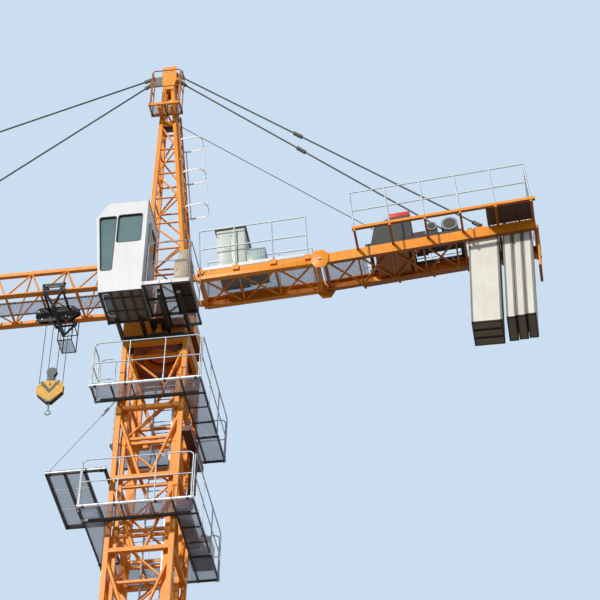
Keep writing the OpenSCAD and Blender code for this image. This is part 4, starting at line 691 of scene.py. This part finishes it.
def rails_of_both_walkways():
    """Rails round three sides, with ends that turn in above and stop below."""
    inset = 0.019
    (x0, y0, _), (x1, y1, upper_z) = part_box("upper_platform")
    x0, y0, x1, y1 = x0 + inset, y0 + inset, x1 - inset, y1 - inset
    edge = CAGE + 0.03
    turn_x = edge + 0.03
    section_near, section_far = 1.09, -0.82
    round_back = [((x1, y1), (x0, y1)), ((x0, y1), (x0, y0)), ((x0, y0), (x1, y0))]
    walkway_rails("upper_walkway_rails", "upper_platform_rails", upper_z, [
        ((turn_x, edge), (x1, edge)), ((x1, edge), (x1, y1)), *round_back,
        ((x1, y0), (x1, -edge)), ((x1, -edge), (turn_x, -edge))])
    walkway_rails("lower_walkway_rails", "lower_platform_rails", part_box("lower_platform")[1][2], [
        ((x1, section_near), (x1, y1)), *round_back, ((x1, y0), (x1, section_far))])


rails_of_both_walkways()


def section_floor():
    (x0, y0, zb), (x1, y1, z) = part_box("section_platform")
    piece = Piece("section_floor", "mast", "galvanised_steel")
    floor_x = x0 + 0.41
    mid = (zb + z) / 2
    deep = z - zb
    piece.mesh_floor((floor_x, y0), (x1, y1), z - 0.008, MESH)
    for y in (y0 + 0.025, y1 - 0.03):
        piece.channel((x0, y, mid), (x1, y, mid), 0.05, deep, FRAME)
    for x in (x0 + 0.025, floor_x + 0.025, (floor_x + x1) / 2 + 0.025, x1 - 0.025):
        piece.channel((x, y0, mid), (x, y1, mid), 0.05, deep, FRAME)
    for y in (y0 + 0.6, y1 - 0.6):
        piece.tube([(floor_x, y, z - 0.03), (x1, y, z - 0.03)], 0.02, BRIGHT, 12)
    piece.tube([(x0, y1 - 0.03, z - 0.03), (x1, y1 - 0.03, z - 0.03)], 0.031, BRIGHT, 14)
    for x in (x0 + 0.1, x1 - 0.1):
        piece.box((x - 0.03, y1 - 0.075, zb), (x + 0.03, y1 - 0.001, z), FRAME, 0.004)
    piece.done("section_platform")


section_floor()


# Counter-jib
# Its deck and mesh floors, in the frames of its two beams
def beam_frame(x, z, tilt):
    c, s = math.cos(math.radians(tilt)), math.sin(math.radians(tilt))
    return lambda p: Vector((x - p[0] * c + p[2] * s, p[1], z + p[0] * s + p[2] * c))


FRONT_LENGTH, FRONT_TILT, REAR_TILT = 2.66, 3.8, 5.8
FRONT_X, FRONT_Z = -0.75, 16.325
FRONT = beam_frame(FRONT_X, FRONT_Z, FRONT_TILT)
joint = FRONT((FRONT_LENGTH, 0, 0))
REAR = beam_frame(joint.x, joint.z, REAR_TILT)
CJ_Y, CJ_H = 0.46, 0.26


def counter_deck():
    piece = Piece("counter_deck", "upper_works", "galvanised_steel", FRONT)
    end = FRONT_LENGTH - 0.03
    piece.mesh_floor((0.01, -CJ_Y), (end, CJ_Y), CJ_H + 0.002, MESH)
    for s in (0.03, 0.85, 1.66, end - 0.03):
        piece.channel((s, -CJ_Y, CJ_H + 0.005), (s, CJ_Y, CJ_H + 0.005), 0.05, 0.01, FRAME, 0.003)
    for side in (-1, 1):
        lo, hi = sorted((side * CJ_Y, side * (CJ_Y - 0.012)))
        piece.box((0.01, lo, CJ_H + 0.01), (FRONT_LENGTH - 0.32, hi, CJ_H + 0.11), WHITE, 0.003)
    piece.place = REAR
    piece.mesh_floor((0.0, -CJ_Y), (0.98, CJ_Y), CJ_H + 0.002, MESH)
    for y0, y1 in ((CJ_Y + 0.02, 1.009), (-0.709, -CJ_Y - 0.02)):
        piece.box((3.65, y0, CJ_H), (4.66, y1, CJ_H + 0.01), SHADED_PLATE)
        for s in (3.68, 4.0, 4.32, 4.63):
            piece.box((s - 0.02, y0, CJ_H - 0.03), (s + 0.02, y1, CJ_H), SHADED_PLATE)
    piece.done("counter_jib_deck")


counter_deck()


def jib_floor():
    (x0, y0, z0), (x1, y1, z1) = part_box("jib_walkway")
    piece = Piece("jib_floor", "upper_works", "galvanised_steel")
    piece.mesh_floor((x0, y0), (x1, y1), z0 + 0.004, MESH, pitch=0.036)
    for y in (y0 + 0.015, y1 - 0.015):
        piece.beam((x0, y, z0 + 0.015), (x1, y, z0 + 0.015), 0.03, 0.03, EDGE_BROWN)
    piece.done("jib_walkway")


jib_floor()


# Trolley and hook
TROLLEY_X = 2.35


def basket():
    (x0, y0, z0), (x1, y1, z1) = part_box("trolley_basket")
    piece = Piece("service_basket", "trolley", "dark_trolley_paint")
    t = 0.024
    for z in (z0 + t / 2, (z0 + z1) / 2, z1 - t / 2):
        mat = TROLLEY if z < z1 - 0.1 else ZINC
        ring = [(x0 + t / 2, y1, z), (x0 + t / 2, y0 + t / 2, z),
                (x1 - t / 2, y0 + t / 2, z), (x1 - t / 2, y1, z)]
        piece.tube(ring, t / 2, mat, bend=0.03)
    for x in (x0 + t / 2, x1 - t / 2):
        for y in (y0 + t / 2, y1 - t / 2):
            piece.tube([(x, y, z0), (x, y, z1)], t / 2, TROLLEY)
    piece.tube([(x0 + t / 2, y1 - t / 2, z0 + t / 2), (x1 - t / 2, y1 - t / 2, z0 + t / 2)], t / 2,
               TROLLEY)
    piece.mesh_floor((x0 + t, y0 + t), (x1 - t, y1 - t), z0 + 0.01, TROLLEY, pitch=0.03, strand=0.006)
    piece.done("trolley_basket")


basket()


def trolley():
    """Open brackets beside the lower chords, their V struts and the sheave body."""
    (_, _, z0), (_, y1, z1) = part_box("trolley_frame")
    piece = Piece("trolley_brackets", "trolley", "dark_trolley_paint",
                  lambda p: p + Vector((TROLLEY_X, 0, 0)))
    plate, bar, strut = 0.016, 0.045, 0.04
    axle_x, axle_z, track_z = 0.17, z1 - 0.108, z1 - 0.1803
    foot = track_z - 0.05
    ends, top, low = 0.25, 0.235, 0.2
    tip = (0.49, z0 + 0.03)
    cheek_y, cheek_t = 0.034, 0.012
    cheek = [(-0.3, z0), (0.4, z0), (0.5, z0 + 0.13), (0.5, track_z - 0.09), (0.42, track_z - 0.015),
             (-0.3, track_z - 0.015), (-0.47, z0 + 0.24), (-0.47, z0 + 0.16), (-0.35, z0 + 0.08)]
    cheek_bolts = [(-0.42, z0 + 0.2), (-0.25, z0 + 0.06), (0.35, z0 + 0.06), (0.44, track_z - 0.12),
                   (-0.25, track_z - 0.07)]
    for side in (-1, 1):
        y = side * (y1 - plate / 2)
        for half, z, deep in ((ends, z1 - 0.035, 0.07), (top, axle_z, 0.03), (low, foot + 0.025, 0.05)):
            piece.beam((-half, y, z), (half, y, z), plate, deep, TROLLEY)
        for u in (-1, 1):
            piece.beam((u * (low + 0.02), y, foot), (u * top, y, z1), plate, bar, TROLLEY)
            hub = [(u * axle_x + 0.042 * math.cos(a), side * (y1 - plate), axle_z + 0.042 * math.sin(a))
                   for a in (math.pi * k / 10 for k in range(20))]
            piece.prism(hub, (0, side * plate, 0), TROLLEY)
            piece.beam((u * low, y, foot + 0.02), (0, side * tip[0], tip[1]), strut, strut, TROLLEY)
        piece.prism([(x, side * cheek_y, z) for x, z in cheek], (0, side * cheek_t, 0), TROLLEY, 0.003)
        piece.bolts([(x, side * (cheek_y + cheek_t), z) for x, z in cheek_bolts], (0, side, 0), 0.018)
    piece.box((-0.035, -0.51, z0), (0.035, 0.51, z0 + 0.06), TROLLEY, 0.004)
    for x in (-0.23, 0.19):
        piece.box((x, plate - y1, track_z - 0.095), (x + 0.04, y1 - plate, track_z - 0.045), TROLLEY,
                  0.004)
    pin_x, pin_z = 0.172, z0 + 0.105
    for u in (-1, 1):
        piece.tube([(u * pin_x, -0.06, pin_z), (u * pin_x, 0.06, pin_z)], 0.02, BOLT, 16)
    piece.done("trolley_frame")


trolley()


def hook_pins():
    """Bolt heads on both faces of the hook block."""
    x = (hook_lo[0] + hook_hi[0]) / 2
    piece = Piece("block_bolts", "hook_block", "sheave_paint")
    for side, y in ((1, hook_hi[1]), (-1, hook_lo[1])):
        piece.bolts([(x, y - side * 0.016, hook_lo[2] + 0.475)], (0, side, 0), 0.02, TROLLEY)
    piece.done()


hook_pins()


# Tower head
def head_floor():
    """Mesh platform beside the head, with its rail."""
    (x0, y0, z0), (x1, y1, _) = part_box("head_platform")
    z = z0 + 0.07
    piece = Piece("head_mesh_floor", "upper_works", "orange_paint")
    piece.mesh_floor((x0, y0), (x1, y1), z - 0.008, SHADED_PLATE, pitch=0.04)
    for y, mat in ((y0 + 0.02, RAIL_ORANGE), (y1 - 0.02, ORANGE)):
        piece.channel((x0, y, z - 0.035), (x1, y, z - 0.035), 0.04, 0.07, mat)
    for x in (x0 + 0.02, (x0 + x1) / 2, x1 - 0.02):
        piece.channel((x, y0, z - 0.03), (x, y1, z - 0.03), 0.03, 0.05, RAIL_ORANGE)
    near, far = y1 - 0.025, y0 + 0.025
    for a, b in (((x1 - 0.025, far), (x1 - 0.025, near)), ((x1 - 0.025, near), (x0 + 0.025, near)),
                 ((x0 + 0.025, near), (x0 + 0.025, far))):
        rail_side(piece, a, b, z, bend=0.04, mat=RAIL_ORANGE)
    piece.done("head_platform")


head_floor()

LADDER_FOOT, LADDER_TILT, LADDER_LENGTH = (-0.67, 15.3), 6.009, 6.9
HOOP_LEVELS = (3.567, 4.672, 5.738)
HOOP = [(0, 0.19), (-0.064, 0.22), (-0.408, 0.22), (-0.496, 0.13)]


def ladder_place(p):
    c, s = math.cos(math.radians(LADDER_TILT)), math.sin(math.radians(LADDER_TILT))
    return Vector((LADDER_FOOT[0] + p[0] * c + p[2] * s, p[1], LADDER_FOOT[1] - p[0] * s + p[2] * c))


def ladder():
    """Rungs between flat stiles, with round hoops and their straps."""
    piece = Piece("ladder_tubes", "upper_works", "white_paint", ladder_place)
    stile = 0.017
    for y in (-0.19, 0.19):
        piece.box((-stile, y - stile, 0.06), (stile, y + stile, LADDER_LENGTH), RAIL_ORANGE, 0.003)
    for k in range(1, round(LADDER_LENGTH / 0.3)):
        piece.tube([(0, -0.19, 0.3 * k), (0, 0.19, 0.3 * k)], 0.011, RAIL_ORANGE, 8)
    for z in HOOP_LEVELS:
        side = [(x, y, z) for x, y in HOOP]
        path = rounded_path(side + [(x, -y, z) for x, y in reversed(HOOP)], 0.2)
        thin, tall = 0.004, 0.024
        piece.sweep(path, [(-thin, -tall), (thin, -tall), (thin, tall), (-thin, tall)], LADDER_WHITE)
    for x, y in ((-0.496, 0), (-0.064, -0.22)):
        piece.tube([(x, y, HOOP_LEVELS[0]), (x, y, HOOP_LEVELS[-1])], 0.013, LADDER_WHITE, 8)
    piece.done("tower_ladder")


ladder()


# Counter-jib, outer faces
def chord_facing():
    """Flange plates and bracket blocks that stand proud of the front chords."""
    piece = Piece("chord_facing", "upper_works", "orange_paint", FRONT)
    for side in (-1, 1):
        lo, hi = sorted((side * CJ_Y, side * (CJ_Y + 0.022)))
        piece.box((0.06, lo, 0.0), (2.5, hi, 0.15), ORANGE, 0.004)
        for s in (0.125, 0.85, 1.66):
            piece.box((s - 0.06, lo, 0.149), (s + 0.06, hi, CJ_H - 0.002), ORANGE, 0.004)
            piece.bolts([(s - 0.03, side * (CJ_Y + 0.022), 0.2),
                         (s + 0.03, side * (CJ_Y + 0.022), 0.2)],
                        (0, side, 0), 0.014)
        # six-sided plate over the pin of the joint
        lo, hi = sorted((side * (CJ_Y + 0.024), side * (CJ_Y + 0.036)))
        plate = [(-0.19, 0.02), (-0.10, -0.14), (0.10, -0.14), (0.19, 0.02), (0.19, 0.24), (0.08, 0.36),
                 (-0.08, 0.36), (-0.19, 0.24)]
        piece.prism([(FRONT_LENGTH + s, lo, h) for s, h in plate], (0, hi - lo, 0), ORANGE, 0.003)
        piece.bolts([(FRONT_LENGTH, side * (CJ_Y + 0.036), 0.11)], (0, side, 0), 0.035)
    piece.done()


chord_facing()


# Cab
CAB_X0, CAB_X1, CAB_Y0, CAB_Y1, CAB_Z, CAB_TOP = 0.075, 0.975, 0.89, 1.9, 14.93, 17.43
CAB_SLOPE = math.radians(5.44)
QUARTER = [(1.051, 17.0), (0.785, 17.0), (0.785, 15.55), (0.927, 15.55)]
SIDE = [(0.645, 17.02), (0.225, 17.02), (0.225, 16.33), (0.645, 16.33)]
DOOR_WINDOW = [(1.24, 16.25), (1.50, 16.25), (1.50, 16.86), (1.24, 16.86)]


def cab_front(p):
    c, s = math.cos(CAB_SLOPE), math.sin(CAB_SLOPE)
    return Vector((CAB_X1 + p[0] * c + p[2] * s, p[1], CAB_Z - p[0] * s + p[2] * c))


def gasket(piece, outline, radius, to_space, out):
    """Rubber frame on a wall and its lip inside the opening."""
    inner = rounded_outline(outline, radius - 0.006)
    outer = rounded_outline(outline, radius + 0.010)
    edge = rounded_outline(outline, radius - 0.0006)
    out = Vector(out)
    piece.ring([to_space(p) for p in outer], [to_space(p) for p in inner], out * 0.004, RUBBER)
    piece.ring([to_space(p) for p in edge], [to_space(p) for p in inner], out * -0.036, RUBBER)


def cab_trim():
    """Window rubbers, flanges, gutters and the ribs under the floor, and the door's trim."""
    piece = Piece("cab_trim", "upper_works", "white_paint")
    for y, out in ((CAB_Y1, 1), (CAB_Y0, -1)):
        for outline in (QUARTER, SIDE):
            gasket(piece, outline, 0.05, lambda p, y=y: (p.x, y, p.y), (0, out, 0))
        # folded flange under the edge of the floor
        lo, hi = sorted((y - 0.03 * out, y - 0.0005 * out))
        piece.box((CAB_X0 - 0.012, lo, CAB_Z - 0.03), (CAB_X1 + 0.014, hi, CAB_Z),
                  WHITE if out > 0 else RUBBER)
    piece.place = cab_front
    screen = [(CAB_Y0 + 0.13, 0.32), (CAB_Y1 - 0.13, 0.32), (CAB_Y1 - 0.13, 1.96),
              (CAB_Y0 + 0.13, 1.96)]
    gasket(piece, screen, 0.02, lambda p: (0, p.x, p.y), (1, 0, 0))
    piece.place = Vector
    # rain gutter along the roof and the lifting eyes' plates
    for y in (CAB_Y0, CAB_Y1 - 0.02):
        piece.box((CAB_X0 - 0.01, y, CAB_TOP - 0.006), (0.93, y + 0.02, CAB_TOP + 0.018), WHITE, 0.004)
    for x in (CAB_X0 - 0.012, 0.915):
        piece.box((x, CAB_Y0, CAB_TOP - 0.01), (x + 0.02, CAB_Y1, CAB_TOP + 0.018), WHITE, 0.004)
    # ribs under the floor, with the frame of the floor window
    width = CAB_X1 - CAB_X0
    for k in range(5):
        x = CAB_X0 + 0.02 + (width - 0.04) * k / 4
        piece.channel((x, CAB_Y0, CAB_Z - 0.022), (x, CAB_Y1 - 0.03, CAB_Z - 0.022), 0.04, 0.044,
                      FRAME, 0.006)
    for y, width in ((CAB_Y0 + 0.02, 0.04), (CAB_Y0 + 0.36, 0.012), (CAB_Y1 - 0.25, 0.012)):
        piece.beam((CAB_X0, y, CAB_Z - 0.012), (CAB_X1, y, CAB_Z - 0.012), width, 0.024, FRAME)
    window_x, window_y0, window_y1, hair = 0.83, 1.2, 1.72, 0.001
    oval = [(window_x - hair, window_y0), (window_x + hair, window_y0),
            (window_x + hair, window_y1), (window_x - hair, window_y1)]

    def level(radius, z):
        return [(p.x, p.y, z) for p in rounded_outline(oval, radius, 8)]

    piece.ring(level(0.095, CAB_Z), level(0.069, CAB_Z), (0, 0, -0.012), BRIGHT)
    piece.ring(level(0.0696, CAB_Z), level(0.062, CAB_Z), (0, 0, 0.036), RUBBER)
    piece.prism(level(0.0695, CAB_Z + 0.010), (0, 0, 0.003), GLASS)
    piece.done()
    # door: rubber, pane, kick plate
    piece = Piece("cab_door_trim", "cab_door", "grey_door_paint")
    gasket(piece, DOOR_WINDOW, 0.06, lambda p: (0.033, p.x, p.y), (-1, 0, 0))
    pane = [(0.048, p.x, p.y) for p in rounded_outline(DOOR_WINDOW, 0.053)]
    piece.prism(pane, (0.006, 0, 0), GLASS)
    piece.box((0.027, 1.12, 15.18), (0.033, 1.62, 15.42), MOTOR, 0.002)
    for z in (15.55, 16.1):
        piece.box((0.028, 1.13, z), (0.033, 1.61, z + 0.03), DOOR, 0.002)
    piece.done()


cab_trim()


def cab_floor():
    """Walkway behind the cab, with its rails and the frame under the floor."""
    (x0, y0, zb), (x1, y1, top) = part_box("cab_walkway")
    z, inner, drive = 15.09, 0.8633, -0.28
    piece = Piece("cab_mesh_walkway", "upper_works", "white_paint")
    piece.box((x0, inner, z - 0.02), (x0 + 0.006, y1 - 0.06, z + 0.16), BEIGE)
    deep = 0.09
    mid = z - deep / 2
    piece.mesh_floor((-0.55, inner), (x1, y1), z - 0.008, MESH)
    piece.mesh_floor((x0, y0), (drive, inner), z - 0.008, MESH)
    piece.box((x0 + 0.01, inner, z - 0.03), (-0.55, y1 - 0.03, z - 0.002), SHADED_PLATE)
    piece.channel((x0, y1 - 0.028, mid), (x1, y1 - 0.028, mid), 0.056, deep, WHITE)
    for y in (inner + 0.03, 1.38):
        piece.channel((x0, y, mid), (x1, y, mid), 0.028, deep - 0.03, FRAME)
    for x in (x0 + 0.02, drive - 0.02):
        piece.channel((x, y0, mid), (x, y1, mid), 0.028, deep - 0.03, FRAME)
    for x in (-0.55, x1 - 0.03):
        piece.channel((x, inner, mid), (x, y1, mid), 0.028, deep - 0.03, FRAME)
    piece.beam((x0, y0 + 0.02, mid), (drive, y0 + 0.02, mid), 0.028, deep - 0.03, FRAME)
    near = y1 - 0.025
    corner = (x0 + 0.025, near)
    for a, b in (((0.015, near), corner), (corner, (x0 + 0.025, 0.79))):
        rail_side(piece, a, b, z, spacing=1.3, bend=0.03, mat=RAIL_GREY, r=0.0105)
    piece.done("cab_walkway")


cab_floor()


# Boxes
def boxes_on_deck():
    """Electric box and control cabinets with their doors, lids and hinges."""
    piece = Piece("electric_box_trim", "upper_works", "beige_box_paint")
    (x0, y0, z0), (x1, y1, z1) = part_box("electric_box")
    piece.box((x0 + 0.015, y1, z0 + 0.03), (x1 - 0.015, y1 + 0.009, z0 + 0.56), BEIGE, 0.003)
    piece.box((x0 + 0.02, y1 - 0.02, z0 + 0.61), (x0 + 0.19, y1 - 0.011, z1 - 0.02), BEIGE, 0.003)
    piece.box((x0 - 0.006, y0 - 0.006, z0 + 0.575), (x1 + 0.006, y1 + 0.012, z0 + 0.59), BEIGE, 0.003)
    for z in (z0 + 0.12, z0 + 0.45):
        piece.tube([(x0 + 0.02, y1 + 0.012, z), (x0 + 0.02, y1 + 0.012, z + 0.05)], 0.007, BOLT)
    piece.box((x1 - 0.05, y1 + 0.009, z0 + 0.26), (x1 - 0.035, y1 + 0.022, z0 + 0.34), BOLT, 0.003)
    piece.done()

    piece = Piece("deck_cabinets", "upper_works", "green_grey_box_paint", FRONT)
    h = CJ_H + 0.01
    for s0, s1, y0, y1, tall, lap, coat, lid in ((0.44, 1.06, -0.25, 0.40, 1.18, 0.04, PALE_BOX, WHITE),
                                                 (1.075, 1.48, -0.20, 0.38, 0.48, 0.01, SAGE, MOTOR)):
        piece.box((s0, y0, h), (s1, y1, h + tall), coat, 0.006)
        piece.box((s0 - lap, y0 - lap, h + tall), (s1 + lap, y1 + lap, h + tall + 0.03), lid, 0.008)
        doors = max(1, round((s1 - s0) / 0.3))
        step = (s1 - s0 - 0.03) / doors
        for k in range(doors):
            a = s0 + 0.02 + step * k
            piece.box((a, y1, h + 0.05), (a + step - 0.01, y1 + 0.008, h + tall - 0.04), coat, 0.003)
            for at in (0.15, 0.8):
                hinge = Vector((a + 0.012, y1 + 0.013, h + tall * at))
                piece.tube([hinge, hinge + Vector((0, 0, 0.05))], 0.007, BOLT)
            lock, mid = a + step - 0.05, h + tall * 0.5
            piece.box((lock, y1 + 0.008, mid), (lock + 0.02, y1 + 0.022, mid + 0.07), BOLT, 0.003)
        for side in (y0, y1 - 0.04):
            piece.box((s0 + 0.02, side, h - 0.008), (s1 - 0.02, side + 0.04, h + 0.03), FRAME, 0.003)
        for k in range(5):
            z = h + tall * 0.72 + 0.022 * k
            piece.box((s0 - 0.006, y0 + 0.1, z), (s0, y1 - 0.1, z + 0.01), MOTOR)
    piece.done("control_cabinets")


boxes_on_deck()


# Winch
DRUM_S, DRUM_R, DRUM_UP = 1.45, 0.2, 0.36


def round_body(piece, s, y0, y1, h, radius, mat, sides=32):
    outline = [(s + radius * math.cos(a), y0, h + radius * math.sin(a))
               for a in (2 * math.pi * k / sides for k in range(sides))]
    piece.prism(outline, (0, y1 - y0, 0), mat)


def winch():
    """Cover, rope on the drum, finned motor and brake."""
    piece = Piece("winch_fittings", "upper_works", "winch_paint", REAR)
    h = CJ_H
    piece.box((DRUM_S + 0.105, -0.4, h + 0.785), (DRUM_S + 0.595, 0.4, h + 0.925), RED, 0.03)
    for y in (-0.25, 0.0, 0.25):
        piece.box((DRUM_S + 0.13, y - 0.012, h + 0.924), (DRUM_S + 0.57, y + 0.012, h + 0.936), RED,
                  0.003)
    # rope wound on the drum
    turns, per_turn, rope_r = 30, 24, 0.009
    path = []
    for k in range(turns * per_turn + 1):
        a = 2 * math.pi * k / per_turn
        r = DRUM_R + rope_r * 0.8
        y = -0.278 + 0.0185 * k / per_turn
        path.append((DRUM_S + r * math.cos(a), y, h + DRUM_UP + r * math.sin(a)))
    piece.tube(path, rope_r, ROPE, 6)
    bolt_circle = 0.235
    for y in (-0.31, 0.29):
        for k in range(8):
            a = math.pi * k / 4
            spot = (DRUM_S + bolt_circle * math.cos(a), y + 0.02,
                    h + DRUM_UP + bolt_circle * math.sin(a))
            piece.bolts([spot], (0, 1, 0), 0.016)
    # brake, motor with fins, fan cowl, terminal box
    brake, motor = (1.015, 0.06, 0.36, 0.39, 0.105), (1.4, -0.06, 0.36, 0.38, 0.17)
    for along, y0, y1, up, radius in (brake, motor):
        s = DRUM_S + along
        at = h + up
        round_body(piece, s, y0 - 0.004, y1 - 0.07, at, radius + 0.003, MOTOR)
        round_body(piece, s, y1 - 0.07, y1 + 0.004, at, radius + 0.014, MOTOR)
        round_body(piece, s, y1 + 0.004, y1 + 0.012, at, radius * 0.8, FRAME)
        fins = 20
        for k in range(fins):
            a = 2 * math.pi * (k + 0.5) / fins
            c, d = math.cos(a), math.sin(a)
            low, high, half = radius, radius + 0.014, 0.004
            outline = [(s + low * c - half * d, y0 + 0.02, at + low * d + half * c),
                       (s + high * c - half * d, y0 + 0.02, at + high * d + half * c),
                       (s + high * c + half * d, y0 + 0.02, at + high * d - half * c),
                       (s + low * c + half * d, y0 + 0.02, at + low * d - half * c)]
            piece.prism(outline, (0, y1 - y0 - 0.1, 0), MOTOR)
    piece.box((DRUM_S + 1.32, 0.0, h + 0.54), (DRUM_S + 1.48, 0.16, h + 0.62), MOTOR, 0.008)
    piece.box((DRUM_S + 0.595, -0.205, h + 0.255), (DRUM_S + 0.865, 0.365, h + 0.275), WINCH, 0.005)
    piece.done()


winch()


# Counterweights
# Thickness and width of the slabs across the beam and of those along it
SLAB_T1, SLAB_W1 = 0.23, 0.63
SLAB_T2, SLAB_W2 = 0.19, 0.736
SLAB_H, SLAB_UP, SLAB_GAP = 2.71, 0.11, 0.02
# the corner angles are near black where they face down: painted shade
EDGING = paint("edging_paint", (0.20, 0.19, 0.165), (0.28, 0.27, 0.24), dirt=0.3, rough=0.6, rust=0.3,
               belly=(0.02, 0.018, 0.015))
DARK_EDGE = paint("dark_edging_paint", (0.035, 0.03, 0.025), (0.06, 0.05, 0.04), dirt=0.3, rough=0.6,
                  rust=0.3)


def slab_edging(piece, x, y, top, w, t):
    """Steel angles up the corners, edging round the foot, and two lifting loops."""
    x0, x1, y0, y1, z0 = x - w / 2, x + w / 2, y - t / 2, y + t / 2, top - SLAB_H
    leg, skin = 0.035, 0.004
    for sx, ex in ((1, x0), (-1, x1)):
        for sy, ey in ((1, y0), (-1, y1)):
            corner = [(ex - sx * skin, ey - sy * skin), (ex + sx * leg, ey - sy * skin),
                      (ex + sx * leg, ey),
                      (ex, ey), (ex, ey + sy * leg), (ex - sx * skin, ey + sy * leg)]
            piece.prism([(a, b, z0) for a, b in corner], (0, 0, SLAB_H), EDGING)
    lip = 0.028
    outer = [(x0 - skin, y0 - skin, z0 - skin), (x1 + skin, y0 - skin, z0 - skin),
             (x1 + skin, y1 + skin, z0 - skin), (x0 - skin, y1 + skin, z0 - skin)]
    inner = [(x0 + lip, y0 + lip, z0 - skin), (x1 - lip, y0 + lip, z0 - skin),
             (x1 - lip, y1 - lip, z0 - skin), (x0 + lip, y1 - lip, z0 - skin)]
    piece.ring(outer, inner, (0, 0, skin * 0.9), DARK_EDGE)
    for a, b in (((x0, y0), (x1, y0)), ((x1, y0), (x1, y1)), ((x1, y1), (x0, y1)),
                 ((x0, y1), (x0, y0))):
        lo = (min(a[0], b[0]) - skin, min(a[1], b[1]) - skin, z0 - skin)
        hi = (max(a[0], b[0]) + skin, max(a[1], b[1]) + skin, z0 + lip)
        if a[0] == b[0]:
            lo, hi = (a[0] - skin, lo[1], lo[2]), (a[0] + skin, hi[1], hi[2])
        else:
            lo, hi = (lo[0], a[1] - skin, lo[2]), (hi[0], a[1] + skin, hi[2])
        piece.box(lo, hi, DARK_EDGE)
    # lifting loops in the top
    for u in (-0.3, 0.3):
        a, b = ((u * w, 0), (0.05, 0)) if w > t else ((0, u * t), (0, 0.05))
        p = Vector((x + a[0], y + a[1], top))
        d = Vector((b[0], b[1], 0))
        piece.tube([p - d - Vector((0, 0, 0.02)), p - d + Vector((0, 0, 0.08)),
                    p + d + Vector((0, 0, 0.08)), p + d - Vector((0, 0, 0.02))], 0.008, BOLT, bend=0.04)


def weights():
    piece = Piece("slab_edging", "upper_works", "concrete")
    at = REAR((3.53, 0, CJ_H))
    for k in (-1, 0, 1):
        slab_edging(piece, at.x, k * (SLAB_T1 + SLAB_GAP), at.z + SLAB_UP, SLAB_W1, SLAB_T1)
    for k in (-1, 0, 1):
        at = REAR((4.25 + k * (SLAB_T2 + SLAB_GAP), 0, CJ_H))
        slab_edging(piece, at.x, 0, at.z + SLAB_UP, SLAB_T2, SLAB_W2)
    piece.done()


weights()


# Light and backdrop
# The sun stands at the upper left, behind the camera
TOWARDS_SUN = Vector((0.36, 0.78, 0.52)).normalized()
SUN_STRENGTH, SKY_STRENGTH = 3.4, 0.9
FLOOR_X, FLOOR_Y = (-14, 30), (-14, 7.5)


def sees_backdrop(tree):
    """1 for rays from the camera, and for those off or through a surface."""
    path = tree.nodes.new("ShaderNodeLightPath")
    value = path.outputs["Is Camera Ray"]
    for name in ("Is Glossy Ray", "Is Transmission Ray"):
        larger = tree.nodes.new("ShaderNodeMath")
        larger.operation = "MAXIMUM"
        tree.links.new(value, larger.inputs[0])
        tree.links.new(path.outputs[name], larger.inputs[1])
        value = larger.outputs[0]
    return value


def make_light():
    """Clear sky from above, little from below, a pale backdrop for the camera."""
    world = bpy.data.worlds.new("world")
    scene.world = world
    world.use_nodes = True
    tree = world.node_tree
    tree.nodes.clear()
    add, link = tree.nodes.new, tree.links.new
    out = add("ShaderNodeOutputWorld")
    coord = add("ShaderNodeTexCoord")
    split = add("ShaderNodeSeparateXYZ")
    link(coord.outputs["Generated"], split.inputs[0])
    height = add("ShaderNodeMapRange")
    height.inputs["From Min"].default_value = -1.0
    link(split.outputs[2], height.inputs["Value"])
    ramp = add("ShaderNodeValToRGB")
    stops = ramp.color_ramp.elements
    stops[0].position, stops[0].color = 0.0, (0.26, 0.215, 0.165, 1)
    stops[1].position, stops[1].color = 1.0, (0.45, 0.55, 0.75, 1)
    for at, color in ((0.46, (0.28, 0.26, 0.23, 1)), (0.56, (0.44, 0.50, 0.60, 1))):
        stop = stops.new(at)
        stop.color = color
    link(height.outputs[0], ramp.inputs[0])
    soft = add("ShaderNodeBackground")
    link(ramp.outputs[0], soft.inputs[0])
    soft.inputs[1].default_value = SKY_STRENGTH
    plain = add("ShaderNodeBackground")
    plain.inputs[0].default_value = (0.60, 0.73, 0.88, 1)
    plain.inputs[1].default_value = 1.0
    mix = add("ShaderNodeMixShader")
    link(sees_backdrop(tree), mix.inputs[0])
    link(soft.outputs[0], mix.inputs[1])
    link(plain.outputs[0], mix.inputs[2])
    link(mix.outputs[0], out.inputs[0])
    sun = bpy.data.lights.new("sun", "SUN")
    sun.energy = SUN_STRENGTH
    sun.angle = math.radians(2.5)
    sun.color = (1.0, 0.96, 0.89)
    lamp = bpy.data.objects.new("sun", sun)
    scene.collection.objects.link(lamp)
    lamp.rotation_euler = TOWARDS_SUN.to_track_quat("Z", "Y").to_euler()


def make_floor():
    """Pale ground that sends little light back up."""
    mesh = bpy.data.meshes.new("floor")
    (x0, x1), (y0, y1) = FLOOR_X, FLOOR_Y
    mesh.from_pydata([(x0, y0, 0), (x1, y0, 0), (x1, y1, 0), (x0, y1, 0)], [], [(0, 1, 2, 3)])
    floor = bpy.data.objects.new("floor", mesh)
    scene.collection.objects.link(floor)
    m = Nodes("floor_pale")
    tone = m.mix(sees_backdrop(m.tree), (0.16, 0.15, 0.14), (0.80, 0.80, 0.79))
    m.set("Base Color", tone)
    m.set("Roughness", 0.85)
    floor.data.materials.append(m.mat)


make_light()
make_floor()
scene.view_settings.view_transform = "Standard"
